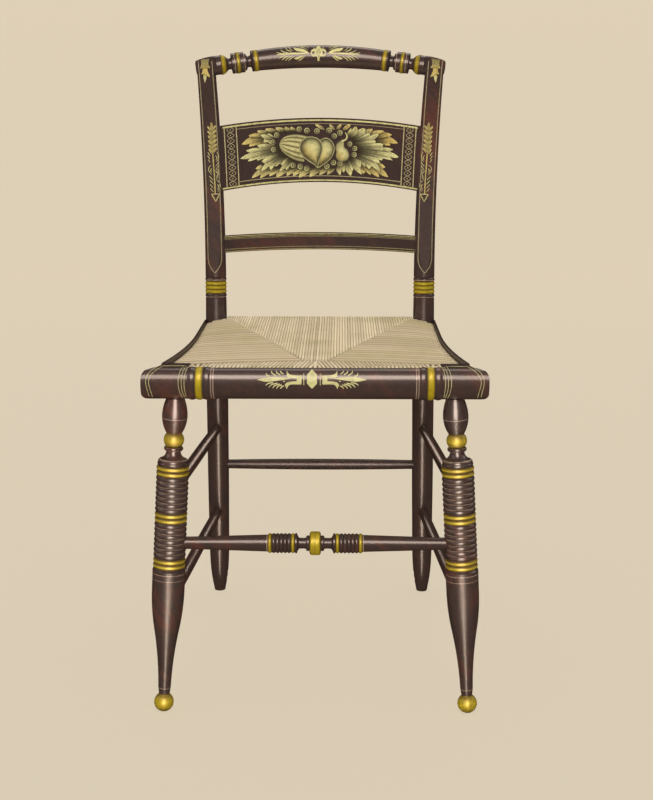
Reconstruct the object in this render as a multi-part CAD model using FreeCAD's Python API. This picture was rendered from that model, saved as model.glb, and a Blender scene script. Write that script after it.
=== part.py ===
import FreeCAD, Part
import math
import os

# Stenciled side chair: turned and painted hardwood frame with a woven rush seat.
# Millimetres. +Z is up, the chair faces -Y, +X is to the right seen from the front.
# The model is drawn with Y zero at the heads of the front legs and moved at the end,
# so that the origin is on the floor at the middle of the chair's own outline.

V = FreeCAD.Vector

# Driving dimensions of the chair
seat_height = 459.0
seat_depth = 363.3
front_foot_x = 200.8
front_head_x = 177.0
front_foot_lead = 23.0
seat_half_width = 175.0
rear_post_inset = 17.0
crest_end_lift = 374.8
slat_middle_lift = 238.2
lower_slat_middle_lift = 112.7
front_stretcher_height = 229.0
rear_stretcher_height = 221.5
upper_stretcher_rear_height = 284.0
upper_stretcher_front_height = 296.0
lower_stretcher_rear_height = 143.0
lower_stretcher_front_height = 145.0

# Fits and shared allowances
joint_clearance = 0.15
rush_clearance = 0.2
cut_overrun = 8.0
floor_block_height = 32.0
floor_block_margin = 120.0
half_turn = 180.0
whole_turn = 360.0
quarter_turn = 90.0

# Seat roll and corner blocks
roll_radius = 19.85
roll_setback = 4.5
block_inner_x = 159.5
block_outer_x = 217.5
block_depth = 48.1
block_corner_radius = 10.0
block_flare_setback = 28.5
block_flare_x = 203.6
block_flare_end = 14.5
roll_bead_width = 9.4
roll_bead_rise = 1.3
roll_bead_count = 3
roll_end_gap = 0.1

# Seat frame and rush
list_radius = 10.0
end_list_radius = 11.0
rush_wrap = 4.0
seat_flare_start = 225.5
seat_flare_radius = 943.0
seat_crown = 4.0
rear_list_rise = 4.0
rear_list_setback = 3.0
list_tenon_radius = 7.0
list_tenon_length = 9.0
side_list_tenon_length = 11.0
strip_thickness = 3.3
strip_height = 20.0
strip_rear_setback = 6.0
rush_post_bite = 1.5
stuffing_margin = 4.2
stuffing_thickness = 16.0

# Front legs: the taper fills what the turnings above it leave between the floor and the block
foot_ball_radius = 12.9
foot_ball_flat = 0.6
ankle_radius = 7.0
ankle_ring_length = 32.5
ankle_ring_radius = 8.2
calf_length_share = 0.565
calf_radius = 16.0
calf_hollow = 1.5
thigh_length_share = 0.822
thigh_radius = 21.1
thigh_swell = 1.1
shoulder_gap = 2.7
shoulder_radius = 21.3
ring_count = 20
ring_pitch = 6.785
ring_groove_radius = 18.6
ring_rise = 2.3
cup_height = 8.3
cup_radius = 19.1
cup_top_radius = 16.6
neck_height = 11.0
neck_radius = 9.3
neck_hollow = 2.4
collar_thickness = 4.6
collar_radius = 11.2
collar_rise = 1.1
leg_ball_height = 17.9
leg_ball_joint_radius = 9.0
leg_ball_rise = 4.1
bulb_height = 45.6
bulb_foot_radius = 10.0
bulb_radius = 16.1
bulb_swell_share = 0.555
bulb_lower_rise = 2.0
bulb_upper_rise = 1.2
bulb_top_radius = 9.4
leg_tenon_radius = 8.0
leg_tenon_length = 22.0

# Rear posts: a straight leg, a knee at the seat, a ring block, and a sweep back and out
ring_base_lift = 33.0
ring_block_length = 32.0
knee_length = 92.0
leg_lean_degrees = 7.3
leg_splay_degrees = 1.0
ring_lean_degrees = 4.2
top_lean_degrees = 15.5
top_splay_degrees = 5.2
rear_leg_radius = 16.6
post_ring_radius = 15.7
post_top_radius = 13.9
post_foot_radius = 7.6
post_bead_count = 5
post_bead_rise = 1.3
post_groove = 0.9
shave_tip_lift = 8.0
shave_run = 123.0
shave_depth = 5.8
shave_cutter_reach = 40.0
shave_point_count = 9

# Post heads
head_radius = 14.0
head_length = 30.6
head_end_radius = 8.6
head_shoulder_radius = 10.6
head_rounding = 2.0
head_waist_length = 14.0
head_waist_radius = 13.5
head_swell = 0.4
post_end_drop = 6.0

# Crest rail
crest_shoulder_inset = 18.0
barrel_half_length = 93.8
crest_bow = 17.0
crest_rise = 13.5
barrel_radius = 16.6
barrel_end_radius = 15.15
barrel_section_count = 7
halving_count = 60
gold_ring_width = 8.5
gold_ring_rise = 0.7
flange_width = 3.6
flange_radius = 15.8
crest_neck_width = 5.8
crest_neck_radius = 8.8
crest_neck_hollow = 0.6
bead_step_width = 3.2
bead_step_radius = 12.4
bead_group_radius = 15.0
bead_group_width = 20.2
bead_gold_width = 6.6
bead_gold_rise = 0.8
bell_width = 10.2
bell_radius = 14.8
bell_neck_radius = 9.4
bell_swell = 1.2
crest_tenon_radius = 6.0
crest_tenon_length = 15.0

# Slats
slat_height = 95.8
slat_arch = 17.5
slat_bow = 18.0
slat_thickness = 8.0
lower_slat_height = 26.0
lower_slat_arch = 6.0
lower_slat_bow = 16.0
slat_tenon_stop = 5.0

# Stretchers
socket_depth = 14.0
socket_run = 20.0
side_stretcher_end_radius = 7.2
side_stretcher_radius = 8.2
rear_stretcher_end_radius = 7.2
rear_stretcher_radius = 8.6
front_stretcher_end_radius = 8.1
front_stretcher_radius = 11.0
middle_ball_half_length = 7.2
middle_ball_radius = 15.3
middle_ball_side_radius = 11.0
middle_ball_rounding = 1.5
ball_ring_width = 4.2
ball_ring_radius = 9.6
ball_ring_rise = 0.5
waist_width = 9.5
waist_radius = 7.2
waist_hollow = 0.3
stretcher_flange_width = 5.3
stretcher_flange_radius = 13.0
stretcher_ring_count = 7
stretcher_ring_pitch = 4.95
stretcher_groove_radius = 11.2
stretcher_ring_rise = 1.6

# Pegs and nails
peg_radius = 1.75
peg_reach = 5.0
nail_radius = 0.9
nail_head_radius = 2.4
nail_head_thickness = 1.2
nail_bite = 8.0
roll_nail_cover = 3.0
roll_nail_share = 0.42
roll_nail_count = 4
strip_nail_radius = 0.7
strip_nail_head_radius = 1.5
strip_nail_head_thickness = 0.8
strip_nail_front_margin = 60.0
strip_nail_rear_margin = 23.0
strip_nail_count = 5


def tangent(degrees):
    return math.tan(math.radians(degrees))


# Heights and places that follow from the sizes above
rear_post_x = seat_half_width - rear_post_inset
crest_shoulder_x = seat_half_width - crest_shoulder_inset
block_bottom = seat_height - 2 * roll_radius
roll_height = seat_height - roll_radius
block_front_y = -roll_setback - roll_radius
block_back_y = block_front_y + block_depth
list_height = seat_height - rush_wrap - end_list_radius
front_list_y = -roll_setback + end_list_radius + rush_wrap
ring_base = seat_height + ring_base_lift
ring_top = ring_base + ring_block_length
crest_end_height = seat_height + crest_end_lift
sweep_length = crest_end_height - ring_top
knee_base = ring_base - knee_length


def post_point(height):
    """Axis of the right rear post: two parabolas joined by straight lengths."""
    above = max(height - ring_top, 0)
    below = max(ring_base - height, 0)
    knee = min(below, knee_length)
    lean = tangent(ring_lean_degrees)
    back = seat_depth + lean * max(height - ring_base, 0)
    back += (tangent(top_lean_degrees) - lean) * above * above / (2 * sweep_length)
    back += (lean + tangent(leg_lean_degrees)) * knee * knee / (2 * knee_length) - lean * knee
    back += tangent(leg_lean_degrees) * (below - knee)
    out = rear_post_x + tangent(top_splay_degrees) * above * above / (2 * sweep_length)
    out += tangent(leg_splay_degrees) * (knee * knee / (2 * knee_length) + below - knee)
    return V(out, back, height)


def post_direction(height):
    """Unit tangent of the post's axis, pointing up."""
    above_share = max(height - ring_top, 0) / sweep_length
    knee_share = min(max(ring_base - height, 0) / knee_length, 1)
    lean = tangent(ring_lean_degrees)
    back = lean + (tangent(top_lean_degrees) - lean) * above_share
    back -= (lean + tangent(leg_lean_degrees)) * knee_share
    out = tangent(top_splay_degrees) * above_share - tangent(leg_splay_degrees) * knee_share
    return V(out, back, 1).normalize()


def front_leg_point(height):
    """Axis of the right front leg, straight from its foot to its head."""
    share = height / block_bottom
    out = front_foot_x + (front_head_x - front_foot_x) * share
    return V(out, -front_foot_lead * (1 - share), height)


def toward(start, end):
    return (end - start).normalize()


def aimed(shape, start, direction):
    """Turn a shape drawn along Z to a direction and move its origin to a start point."""
    placed = shape.copy()
    placed.Placement = FreeCAD.Placement(start, FreeCAD.Rotation(V(0, 0, 1), direction))
    return placed


def rod(radius, start, end):
    return Part.makeCylinder(radius, (end - start).Length, start, end - start)


def outline_edges(stations):
    """Edges of a turned outline; a station is (length, radius, rise of the arc that reaches it)."""
    edges = []
    for first, last in zip(stations, stations[1:]):
        start = V(first[1], 0, first[0])
        end = V(last[1], 0, last[0])
        rise = last[2] if len(last) > 2 else 0
        if rise == 0:
            edges.append(Part.LineSegment(start, end).toShape())
            continue
        chord = toward(start, end)
        middle = (start + end) * 0.5 + V(chord.z, 0, -chord.x) * rise
        edges.append(Part.Arc(start, middle, end).toShape())
    return edges


def turned(stations, angle=whole_turn):
    """Solid of revolution about Z from a list of stations."""
    foot = V(0, 0, stations[0][0])
    top = V(0, 0, stations[-1][0])
    edges = outline_edges(stations)
    if stations[-1][1] > 0:
        edges.append(Part.LineSegment(V(stations[-1][1], 0, top.z), top).toShape())
    edges.append(Part.LineSegment(top, foot).toShape())
    if stations[0][1] > 0:
        edges.append(Part.LineSegment(foot, V(stations[0][1], 0, foot.z)).toShape())
    face = Part.Face(Part.Wire(edges))
    return face.revolve(V(0, 0, 0), V(0, 0, 1), angle)


def beads(start, count, pitch, root, rise):
    """Stations of a run of equal half-round beads."""
    return [(start + pitch * (index + 1), root, rise) for index in range(count)]


def closed_face(edges):
    return Part.Face(Part.Wire(edges))


def line(start, end):
    return Part.LineSegment(start, end).toShape()


def arc(start, middle, end):
    return Part.Arc(start, middle, end).toShape()


def polygon_face(points):
    return Part.Face(Part.makePolygon(points + [points[0]]))


def mirrored(shape):
    return shape.mirror(V(0, 0, 0), V(1, 0, 0))


def side_offset_line(inset):
    """X of the straight rear half of a curve that runs inside the seat's outer edge."""
    return seat_half_width - inset


def side_offset_x(inset, back):
    """X of the seat's side curve, moved inward by an inset, at a distance back."""
    reach = seat_flare_radius + inset
    forward = max(seat_flare_start - back, 0)
    return seat_half_width + seat_flare_radius - math.sqrt(reach * reach - forward * forward)


def side_curve(inset, front, rear):
    """Edges of the seat's side curve from front to rear: an arc and a tangent straight."""
    middle_y = (front + seat_flare_start) / 2
    points = [V(side_offset_x(inset, back), back, 0) for back in (front, middle_y, seat_flare_start)]
    straight_end = V(side_offset_line(inset), rear, 0)
    return [arc(*points), line(points[-1], straight_end)]


# Rear posts
lower_post_height_shares = (0, 0.04, 0.09, 0.16, 0.3, 0.47, 0.66)
lower_post_radius_shares = (0.52, 0.69, 0.84, 0.93, 0.97, 1.0, 1.0)
knee_height_shares = (0, 0.25, 0.5, 0.75, 1.0)
sweep_height_shares = (0, 0.15, 0.35, 0.6, 0.8, 1.0)


def ring_section(radius, height):
    circle = Part.Wire([Part.makeCircle(radius)])
    return aimed(circle, post_point(height), post_direction(height))


def lower_post_body(grow=0):
    """Leg and knee of the right post, below its ring block."""
    sections = [ring_section(post_foot_radius + grow, -cut_overrun)]
    for height_share, radius_share in zip(lower_post_height_shares, lower_post_radius_shares):
        sections.append(ring_section(rear_leg_radius * radius_share + grow, knee_base * height_share))
    for share in knee_height_shares:
        radius = rear_leg_radius + (post_ring_radius - rear_leg_radius) * share
        sections.append(ring_section(radius + grow, knee_base + knee_length * share))
    return Part.makeLoft(sections, True, False)


def upper_post_radius(height):
    share = (height - ring_top) / sweep_length
    return post_ring_radius + (post_top_radius - post_ring_radius) * share


crest_plane_angle = math.atan2(crest_rise, crest_bow)
crest_sagitta = math.hypot(crest_rise, crest_bow)
crest_outer_length = crest_shoulder_x - barrel_half_length


def crest_slope():
    """Angle of the crest's straight ends, so that arc and ends together give its bow."""
    low = 0.0
    high = math.radians(quarter_turn) / 2
    for step in range(halving_count):
        angle = (low + high) / 2
        sag = barrel_half_length * math.tan(angle / 2) + crest_outer_length * math.tan(angle)
        if sag > crest_sagitta:
            high = angle
        else:
            low = angle
    return (low + high) / 2


crest_end_slope = crest_slope()
crest_back = V(0, math.cos(crest_plane_angle), math.sin(crest_plane_angle))
crest_outward = V(math.cos(crest_end_slope), 0, 0) - crest_back * math.sin(crest_end_slope)
crest_head_point = post_point(crest_end_height)
crest_head_span = (crest_head_point.x - crest_shoulder_x) / math.cos(crest_end_slope)
crest_shoulder = crest_head_point - crest_outward * crest_head_span


def shaved_point(height, run_share):
    """Point of the flat that is shaved on the post's front, at a height."""
    depth = shave_depth * (1 - max(1 - run_share, 0) ** 2) if run_share < 1 else shave_depth
    direction = post_direction(height)
    normal = V(0, -direction.z, direction.y).normalize()
    return post_point(height) + normal * (upper_post_radius(height) - depth)


def shave_cutter():
    """Block in front of the post whose back face is the shaved flat, run out to a pointed tip."""
    tip = ring_top + shave_tip_lift
    top = crest_end_height + head_radius + cut_overrun
    points = []
    for index in range(shave_point_count):
        height = ring_top + (top - ring_top) * index / (shave_point_count - 1)
        point = shaved_point(height, (height - tip) / shave_run)
        points.append(V(0, point.y, point.z))
    curve = Part.BSplineCurve()
    curve.interpolate(points)
    front = points[0].y - shave_cutter_reach
    edges = [curve.toShape(), line(points[-1], V(0, front, points[-1].z))]
    edges.append(line(V(0, front, points[-1].z), V(0, front, points[0].z)))
    edges.append(line(V(0, front, points[0].z), points[0]))
    inner = rear_post_x - shave_cutter_reach
    face = closed_face(edges)
    face.translate(V(inner, 0, 0))
    return face.extrude(V(2 * shave_cutter_reach + head_length, 0, 0))


def post_blank():
    """Right post before its mortises: leg, knee, ring block, sweep and head, shaved in front."""
    bead_pitch = (ring_block_length - 2 * post_groove) / post_bead_count
    groove_radius = post_ring_radius - post_groove
    stations = [(0, post_ring_radius), (post_groove, groove_radius)]
    stations += beads(post_groove, post_bead_count, bead_pitch, groove_radius, post_bead_rise)
    stations.append((ring_block_length, post_ring_radius))
    direction = post_direction(ring_base)
    block_length = (post_point(ring_top) - post_point(ring_base)).Length
    stations = [(station[0] * block_length / ring_block_length,) + station[1:] for station in stations]
    rings = aimed(turned(stations), post_point(ring_base), direction)
    end_height = crest_end_height - post_end_drop
    heights = [ring_top + (end_height - ring_top) * share for share in sweep_height_shares]
    sections = [ring_section(upper_post_radius(height), height) for height in heights]
    sweep = Part.makeLoft(sections, True, False)
    head = turned([
        (0, head_radius),
        (head_waist_length, head_waist_radius, head_swell),
        (head_length - head_rounding, head_shoulder_radius, head_swell),
        (head_length, head_end_radius, head_swell),
    ])
    head = aimed(head, crest_shoulder, crest_outward)
    body = lower_post_body().fuse([rings, sweep, head]).removeSplitter()
    return body.cut(shave_cutter()).cut(floor_block())


def floor_block():
    """Everything below the floor, well past the feet on every side."""
    width = 2 * (front_foot_x + floor_block_margin)
    depth = seat_depth + 2 * floor_block_margin
    block = Part.makeBox(width, depth, floor_block_height)
    block.translate(V(-width / 2, -floor_block_margin, -floor_block_height))
    return block


# Slats
def slat_lean(middle_lift):
    direction = post_direction(seat_height + middle_lift)
    return math.degrees(math.atan2(direction.y, direction.z))


def bowed_plate(half_span, bow, thickness, half_length, grow):
    """Upright plate bowed back in plan; its mid surface meets y = 0 at the half span."""
    radius = (half_span ** 2 + bow ** 2) / (2 * bow)
    centre = bow - radius
    edges = []
    corners = []
    for sign, side in ((-1, radius - thickness / 2 - grow), (1, radius + thickness / 2 + grow)):
        drop = centre + math.sqrt(side ** 2 - half_length ** 2)
        points = [V(-half_length, drop, 0), V(0, centre + side, 0), V(half_length, drop, 0)]
        edges.append(arc(*points))
        corners.append(points)
    edges.append(line(corners[0][0], corners[1][0]))
    edges.append(line(corners[0][2], corners[1][2]))
    return closed_face(Part.__sortEdges__(edges))


def slat(middle_lift, height, arch, bow, grow=0):
    """Arched, bowed slat whose ends follow the posts; grow gives the shape of its mortise."""
    middle = post_point(seat_height + middle_lift)
    lean = slat_lean(middle_lift)
    rise = height / 2 * math.cos(math.radians(lean))
    low_x = post_point(middle.z - rise).x - slat_tenon_stop + grow
    high_x = post_point(middle.z + rise).x - slat_tenon_stop + grow
    low = -height / 2 - grow
    high = height / 2 + grow
    edges = [
        arc(V(-high_x, 0, high), V(0, 0, high + arch), V(high_x, 0, high)),
        line(V(high_x, 0, high), V(low_x, 0, low)),
        arc(V(low_x, 0, low), V(0, 0, low + arch), V(-low_x, 0, low)),
        line(V(-low_x, 0, low), V(-high_x, 0, high)),
    ]
    reach = bow + slat_thickness + cut_overrun
    front_view = closed_face(edges)
    front_view.translate(V(0, -reach, 0))
    front_view = front_view.extrude(V(0, 2 * reach, 0))
    post_side = middle.x - upper_post_radius(middle.z)
    plan = bowed_plate(post_side, bow, slat_thickness, high_x + cut_overrun, grow)
    plan.translate(V(0, 0, low - cut_overrun))
    plate = plan.extrude(V(0, 0, high - low + arch + 2 * cut_overrun)).common(front_view)
    plate.rotate(V(0, 0, 0), V(1, 0, 0), -lean)
    plate.translate(V(0, middle.y, middle.z))
    return plate


def main_slat(grow=0):
    return slat(slat_middle_lift, slat_height, slat_arch, slat_bow, grow)


def low_slat(grow=0):
    return slat(lower_slat_middle_lift, lower_slat_height, lower_slat_arch, lower_slat_bow, grow)


# Crest rail
def crest_tenon(grow=0):
    start = crest_shoulder - crest_outward * cut_overrun
    end = crest_shoulder + crest_outward * (crest_tenon_length + grow)
    return rod(crest_tenon_radius + grow, start, end)


def crest_rail():
    """Barrel on an arc, with turned rings, necks and bells on straight tangent ends, and round tenons."""
    arc_radius = barrel_half_length / math.sin(crest_end_slope)
    end_point = crest_shoulder - crest_outward * (crest_outer_length / math.cos(crest_end_slope))
    middle = V(0, end_point.y, end_point.z) + crest_back * (arc_radius * (1 - math.cos(crest_end_slope)))
    centre = middle - crest_back * arc_radius
    sections = []
    for index in range(barrel_section_count):
        share = 2 * index / (barrel_section_count - 1) - 1
        angle = crest_end_slope * share
        place = centre + V(math.sin(angle), 0, 0) * arc_radius + crest_back * (arc_radius * math.cos(angle))
        direction = V(math.cos(angle), 0, 0) - crest_back * math.sin(angle)
        radius = barrel_radius - (barrel_radius - barrel_end_radius) * share * share
        sections.append(aimed(Part.Wire([Part.makeCircle(radius)]), place, direction))
    barrel = Part.makeLoft(sections, True, False)
    end_length = (crest_shoulder - end_point).Length
    ring_end = gold_ring_width
    flange_end = ring_end + flange_width
    neck_end = flange_end + crest_neck_width
    step_end = neck_end + bead_step_width
    gold_start = step_end + (bead_group_width - bead_gold_width) / 2
    gold_end = gold_start + bead_gold_width
    group_end = step_end + bead_group_width
    second_neck_end = group_end + crest_neck_width
    bell_end = second_neck_end + bell_width
    end = turned([
        (0, barrel_end_radius),
        (ring_end, barrel_end_radius, gold_ring_rise),
        (flange_end - flange_width / 2, flange_radius),
        (flange_end, crest_neck_radius, -crest_neck_hollow),
        (neck_end, crest_neck_radius, -crest_neck_hollow),
        (step_end - bead_step_width / 2, bead_step_radius, crest_neck_hollow),
        (step_end, bead_step_radius),
        (step_end + crest_neck_hollow, bead_group_radius),
        (gold_start, bead_group_radius),
        (gold_end, bead_group_radius, bead_gold_rise),
        (group_end - crest_neck_hollow, bead_group_radius),
        (group_end, crest_neck_radius),
        (second_neck_end, crest_neck_radius, -crest_neck_hollow),
        (second_neck_end + crest_neck_hollow, bell_neck_radius),
        (bell_end, bell_radius, bell_swell),
        (bell_end + crest_neck_hollow, head_radius),
        (end_length, head_radius),
    ])
    end = aimed(end, end_point, crest_outward).fuse(crest_tenon())
    return barrel.fuse([end, mirrored(end)]).removeSplitter()


# Stretchers
def post_socket_point(height, other):
    """Bottom of a stretcher's socket in the right post, on the way to another point."""
    axis = post_point(height)
    return axis + toward(axis, other) * (rear_leg_radius - socket_depth)


def leg_socket_point(height, other):
    axis = front_leg_point(height)
    return axis + toward(axis, other) * (shoulder_radius - socket_depth)


def plain_stretcher(start, end, end_radius, middle_radius):
    """Turned bar with straight socketed ends and a slight swell between them."""
    length = (end - start).Length
    body = turned([
        (0, end_radius),
        (socket_run, end_radius),
        (length - socket_run, end_radius, middle_radius - end_radius),
        (length, end_radius),
    ])
    return aimed(body, start, toward(start, end))


def socket(start, end, radius):
    """Clearance hole for a stretcher's ends."""
    reach = toward(start, end) * joint_clearance
    return rod(radius + joint_clearance, start - reach, end + reach)


def side_stretcher_ends(rear_height, front_height):
    rear = post_socket_point(rear_height, front_leg_point(front_height))
    front = leg_socket_point(front_height, post_point(rear_height))
    return rear, front


upper_ends = side_stretcher_ends(upper_stretcher_rear_height, upper_stretcher_front_height)
lower_ends = side_stretcher_ends(lower_stretcher_rear_height, lower_stretcher_front_height)
rear_axis = post_point(rear_stretcher_height)
rear_end = post_socket_point(rear_stretcher_height, V(0, rear_axis.y, rear_axis.z))
front_axis = front_leg_point(front_stretcher_height)
front_end = leg_socket_point(front_stretcher_height, V(0, front_axis.y, front_axis.z))


def reflected(point):
    return V(-point.x, point.y, point.z)


def front_stretcher():
    """Bar with a ring group on each side of a round middle ball."""
    ring_start = middle_ball_half_length + ball_ring_width + waist_width + stretcher_flange_width
    ring_end = ring_start + stretcher_ring_count * stretcher_ring_pitch
    waist_start = middle_ball_half_length + ball_ring_width
    waist_end = waist_start + waist_width
    side_rise = middle_ball_radius - middle_ball_side_radius
    stations = [
        (0, middle_ball_radius),
        (middle_ball_half_length - side_rise / 2, middle_ball_radius),
        (middle_ball_half_length, middle_ball_side_radius, middle_ball_rounding / 2),
        (middle_ball_half_length, ball_ring_radius),
        (waist_start, ball_ring_radius, ball_ring_rise),
        (waist_start + ball_ring_rise, waist_radius),
        (waist_end, waist_radius, -waist_hollow),
        (waist_end + stretcher_flange_width / 2, stretcher_flange_radius, -waist_hollow),
        (ring_start - ball_ring_rise, stretcher_flange_radius),
        (ring_start, stretcher_groove_radius),
    ]
    stations += beads(ring_start, stretcher_ring_count, stretcher_ring_pitch,
                      stretcher_groove_radius, stretcher_ring_rise)
    half = front_end.x
    stations.append((ring_end + ball_ring_rise, front_stretcher_radius))
    stations.append((half - socket_run, front_stretcher_end_radius))
    stations.append((half, front_stretcher_end_radius))
    side = aimed(turned(stations), V(0, front_end.y, front_end.z), V(1, 0, 0))
    return side.fuse(mirrored(side)).removeSplitter()


# Front legs
def front_leg_blank():
    """Right front leg as turned, with its tenon, cut level at the floor and under the block."""
    foot = front_leg_point(0)
    head = front_leg_point(block_bottom)
    direction = toward(foot, head)
    axis_length = (head - foot).Length
    ball_centre = foot_ball_radius - foot_ball_flat
    ankle = ball_centre + math.sqrt(foot_ball_radius ** 2 - ankle_radius ** 2)
    ball = Part.makeSphere(foot_ball_radius, V(0, 0, ball_centre))
    ball_top = axis_length - bulb_height
    collar_top = ball_top - leg_ball_height
    neck_top = collar_top - collar_thickness
    cup_top = neck_top - neck_height
    stack_base = cup_top - cup_height - ring_count * ring_pitch
    bulb_middle = ball_top + bulb_height * bulb_swell_share
    bulb_top = axis_length + cut_overrun / 2
    stations = [
        (ankle - ankle_radius, ankle_radius),
        (ankle, ankle_radius),
        (ankle_ring_length, ankle_ring_radius),
        (stack_base * calf_length_share, calf_radius, -calf_hollow),
        (stack_base * thigh_length_share, thigh_radius, thigh_swell),
        (stack_base - shoulder_gap, shoulder_radius),
        (stack_base, ring_groove_radius),
    ]
    stations += beads(stack_base, ring_count, ring_pitch, ring_groove_radius, ring_rise)
    stations += [
        (cup_top - cup_height / 2, cup_radius, collar_rise),
        (cup_top, cup_top_radius, collar_rise),
        (neck_top, neck_radius, -neck_hollow),
        (neck_top, collar_radius),
        (collar_top, collar_radius, collar_rise),
        (collar_top, leg_ball_joint_radius),
        (ball_top, leg_ball_joint_radius, leg_ball_rise),
        (ball_top, bulb_foot_radius),
        (bulb_middle, bulb_radius, bulb_lower_rise),
        (bulb_top, bulb_top_radius, bulb_upper_rise),
    ]
    leg = aimed(ball.fuse(turned(stations)), foot, direction)
    above = floor_block()
    above.translate(V(0, 0, block_bottom + floor_block_height))
    leg = leg.cut(floor_block()).cut(above)
    tenon = rod(leg_tenon_radius, head - direction * cut_overrun, head + direction * leg_tenon_length)
    return leg.fuse(tenon).removeSplitter()


def leg_tenon_hole():
    head = front_leg_point(block_bottom)
    direction = toward(front_leg_point(0), head)
    end = head + direction * (leg_tenon_length + joint_clearance)
    return rod(leg_tenon_radius + joint_clearance, head - direction * cut_overrun, end)


# Seat frame
def list_bar(radius, tenon_end, shoulder_x, back, height, grow=0):
    """Round list across the chair with a smaller round tenon at each end."""
    body = rod(radius + grow, V(-shoulder_x, back, height), V(shoulder_x, back, height))
    reach = tenon_end + grow
    tenon = rod(list_tenon_radius + grow, V(-reach, back, height), V(reach, back, height))
    return body.fuse(tenon)


def front_list(grow=0):
    tenon_end = block_inner_x + list_tenon_length
    return list_bar(end_list_radius, tenon_end, block_inner_x, front_list_y, list_height, grow)


rear_list_height = list_height + rear_list_rise
rear_list_y = post_point(rear_list_height).y + rear_list_setback


def rear_list(grow=0):
    post_side = post_point(rear_list_height).x - rear_leg_radius - joint_clearance
    tenon_end = post_side + list_tenon_length
    return list_bar(end_list_radius, tenon_end, post_side, rear_list_y, rear_list_height, grow)


def side_list(grow=0):
    """Right side list: straight at the back, bent outward to the corner block, with tenons."""
    inset = strip_thickness + rush_wrap + list_radius
    reach = seat_flare_radius + inset
    centre = V(seat_half_width + seat_flare_radius, seat_flare_start, 0)
    x = side_offset_line(inset)
    front_angle = math.asin((seat_flare_start - block_back_y) / reach)
    section = Part.makeCircle(list_radius + grow, V(x, seat_flare_start, list_height), V(0, 1, 0))
    face = Part.Face(Part.Wire([section]))
    bend_angle = math.degrees(front_angle + cut_overrun / reach)
    bend = face.revolve(centre, V(0, 0, 1), bend_angle)
    keep_behind = Part.makeBox(2 * seat_half_width, seat_depth, 2 * seat_height)
    keep_behind.translate(V(0, block_back_y, 0))
    bend = bend.common(keep_behind)
    post = post_point(list_height)
    rear_shoulder = post.y - rear_leg_radius - joint_clearance
    start = V(x, seat_flare_start, list_height)
    straight = rod(list_radius + grow, start, V(x, rear_shoulder, list_height))
    rear_end = V(x, rear_shoulder + list_tenon_length + grow, list_height)
    rear_tenon = rod(list_tenon_radius + grow, start, rear_end)
    joint = centre + V(-math.cos(front_angle), -math.sin(front_angle), 0) * reach + V(0, 0, list_height)
    forward = V(math.sin(front_angle), -math.cos(front_angle), 0)
    front_tenon = rod(list_tenon_radius + grow, joint - forward * cut_overrun,
                      joint + forward * (side_list_tenon_length + grow))
    return bend.fuse([straight, rear_tenon, front_tenon]).removeSplitter()


def corner_block_blank():
    """Right corner block: the common volume of its plan, its side view and its front view."""
    back_x = side_offset_x(0, block_back_y)
    plan = closed_face([
        line(V(block_inner_x, block_back_y, 0), V(back_x, block_back_y, 0)),
        arc(V(back_x, block_back_y, 0), V(block_flare_x, block_back_y - block_flare_setback, 0),
            V(block_outer_x, -block_flare_end, 0)),
        line(V(block_outer_x, -block_flare_end, 0), V(block_outer_x, block_front_y, 0)),
        line(V(block_outer_x, block_front_y, 0), V(block_inner_x, block_front_y, 0)),
        line(V(block_inner_x, block_front_y, 0), V(block_inner_x, block_back_y, 0)),
    ])
    side = closed_face([
        line(V(0, block_back_y, block_bottom), V(0, block_back_y, seat_height)),
        line(V(0, block_back_y, seat_height), V(0, -roll_setback, seat_height)),
        arc(V(0, -roll_setback, seat_height), V(0, block_front_y, roll_height),
            V(0, -roll_setback, block_bottom)),
        line(V(0, -roll_setback, block_bottom), V(0, block_back_y, block_bottom)),
    ])
    corner = block_corner_radius
    diagonal = corner * (1 - math.sqrt(0.5))
    corner_x = block_outer_x - corner
    front = closed_face([
        line(V(block_inner_x, 0, block_bottom), V(corner_x, 0, block_bottom)),
        arc(V(corner_x, 0, block_bottom), V(block_outer_x - diagonal, 0, block_bottom + diagonal),
            V(block_outer_x, 0, block_bottom + corner)),
        line(V(block_outer_x, 0, block_bottom + corner), V(block_outer_x, 0, seat_height - corner)),
        arc(V(block_outer_x, 0, seat_height - corner),
            V(block_outer_x - diagonal, 0, seat_height - diagonal), V(corner_x, 0, seat_height)),
        line(V(corner_x, 0, seat_height), V(block_inner_x, 0, seat_height)),
        line(V(block_inner_x, 0, seat_height), V(block_inner_x, 0, block_bottom)),
    ])
    plan.translate(V(0, 0, block_bottom))
    front.translate(V(0, block_back_y, 0))
    body = plan.extrude(V(0, 0, 2 * roll_radius))
    body = body.common(side.extrude(V(block_outer_x + cut_overrun, 0, 0)))
    return body.common(front.extrude(V(0, -block_depth, 0)))


def front_roll():
    """Half-round moulding across the seat's front, with three beads at each end."""
    half = block_inner_x - roll_end_gap
    bead_run = roll_bead_count * roll_bead_width
    stations = [(-half, roll_radius)]
    stations += beads(-half, roll_bead_count, roll_bead_width, roll_radius, roll_bead_rise)
    stations.append((half - bead_run, roll_radius))
    stations += beads(half - bead_run, roll_bead_count, roll_bead_width, roll_radius, roll_bead_rise)
    body = turned(stations, half_turn)
    turn = FreeCAD.Rotation(V(0, 0, 1), V(0, -1, 0), V(1, 0, 0), "ZXY")
    body.Placement = FreeCAD.Placement(V(0, -roll_setback, roll_height), turn)
    return body


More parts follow.
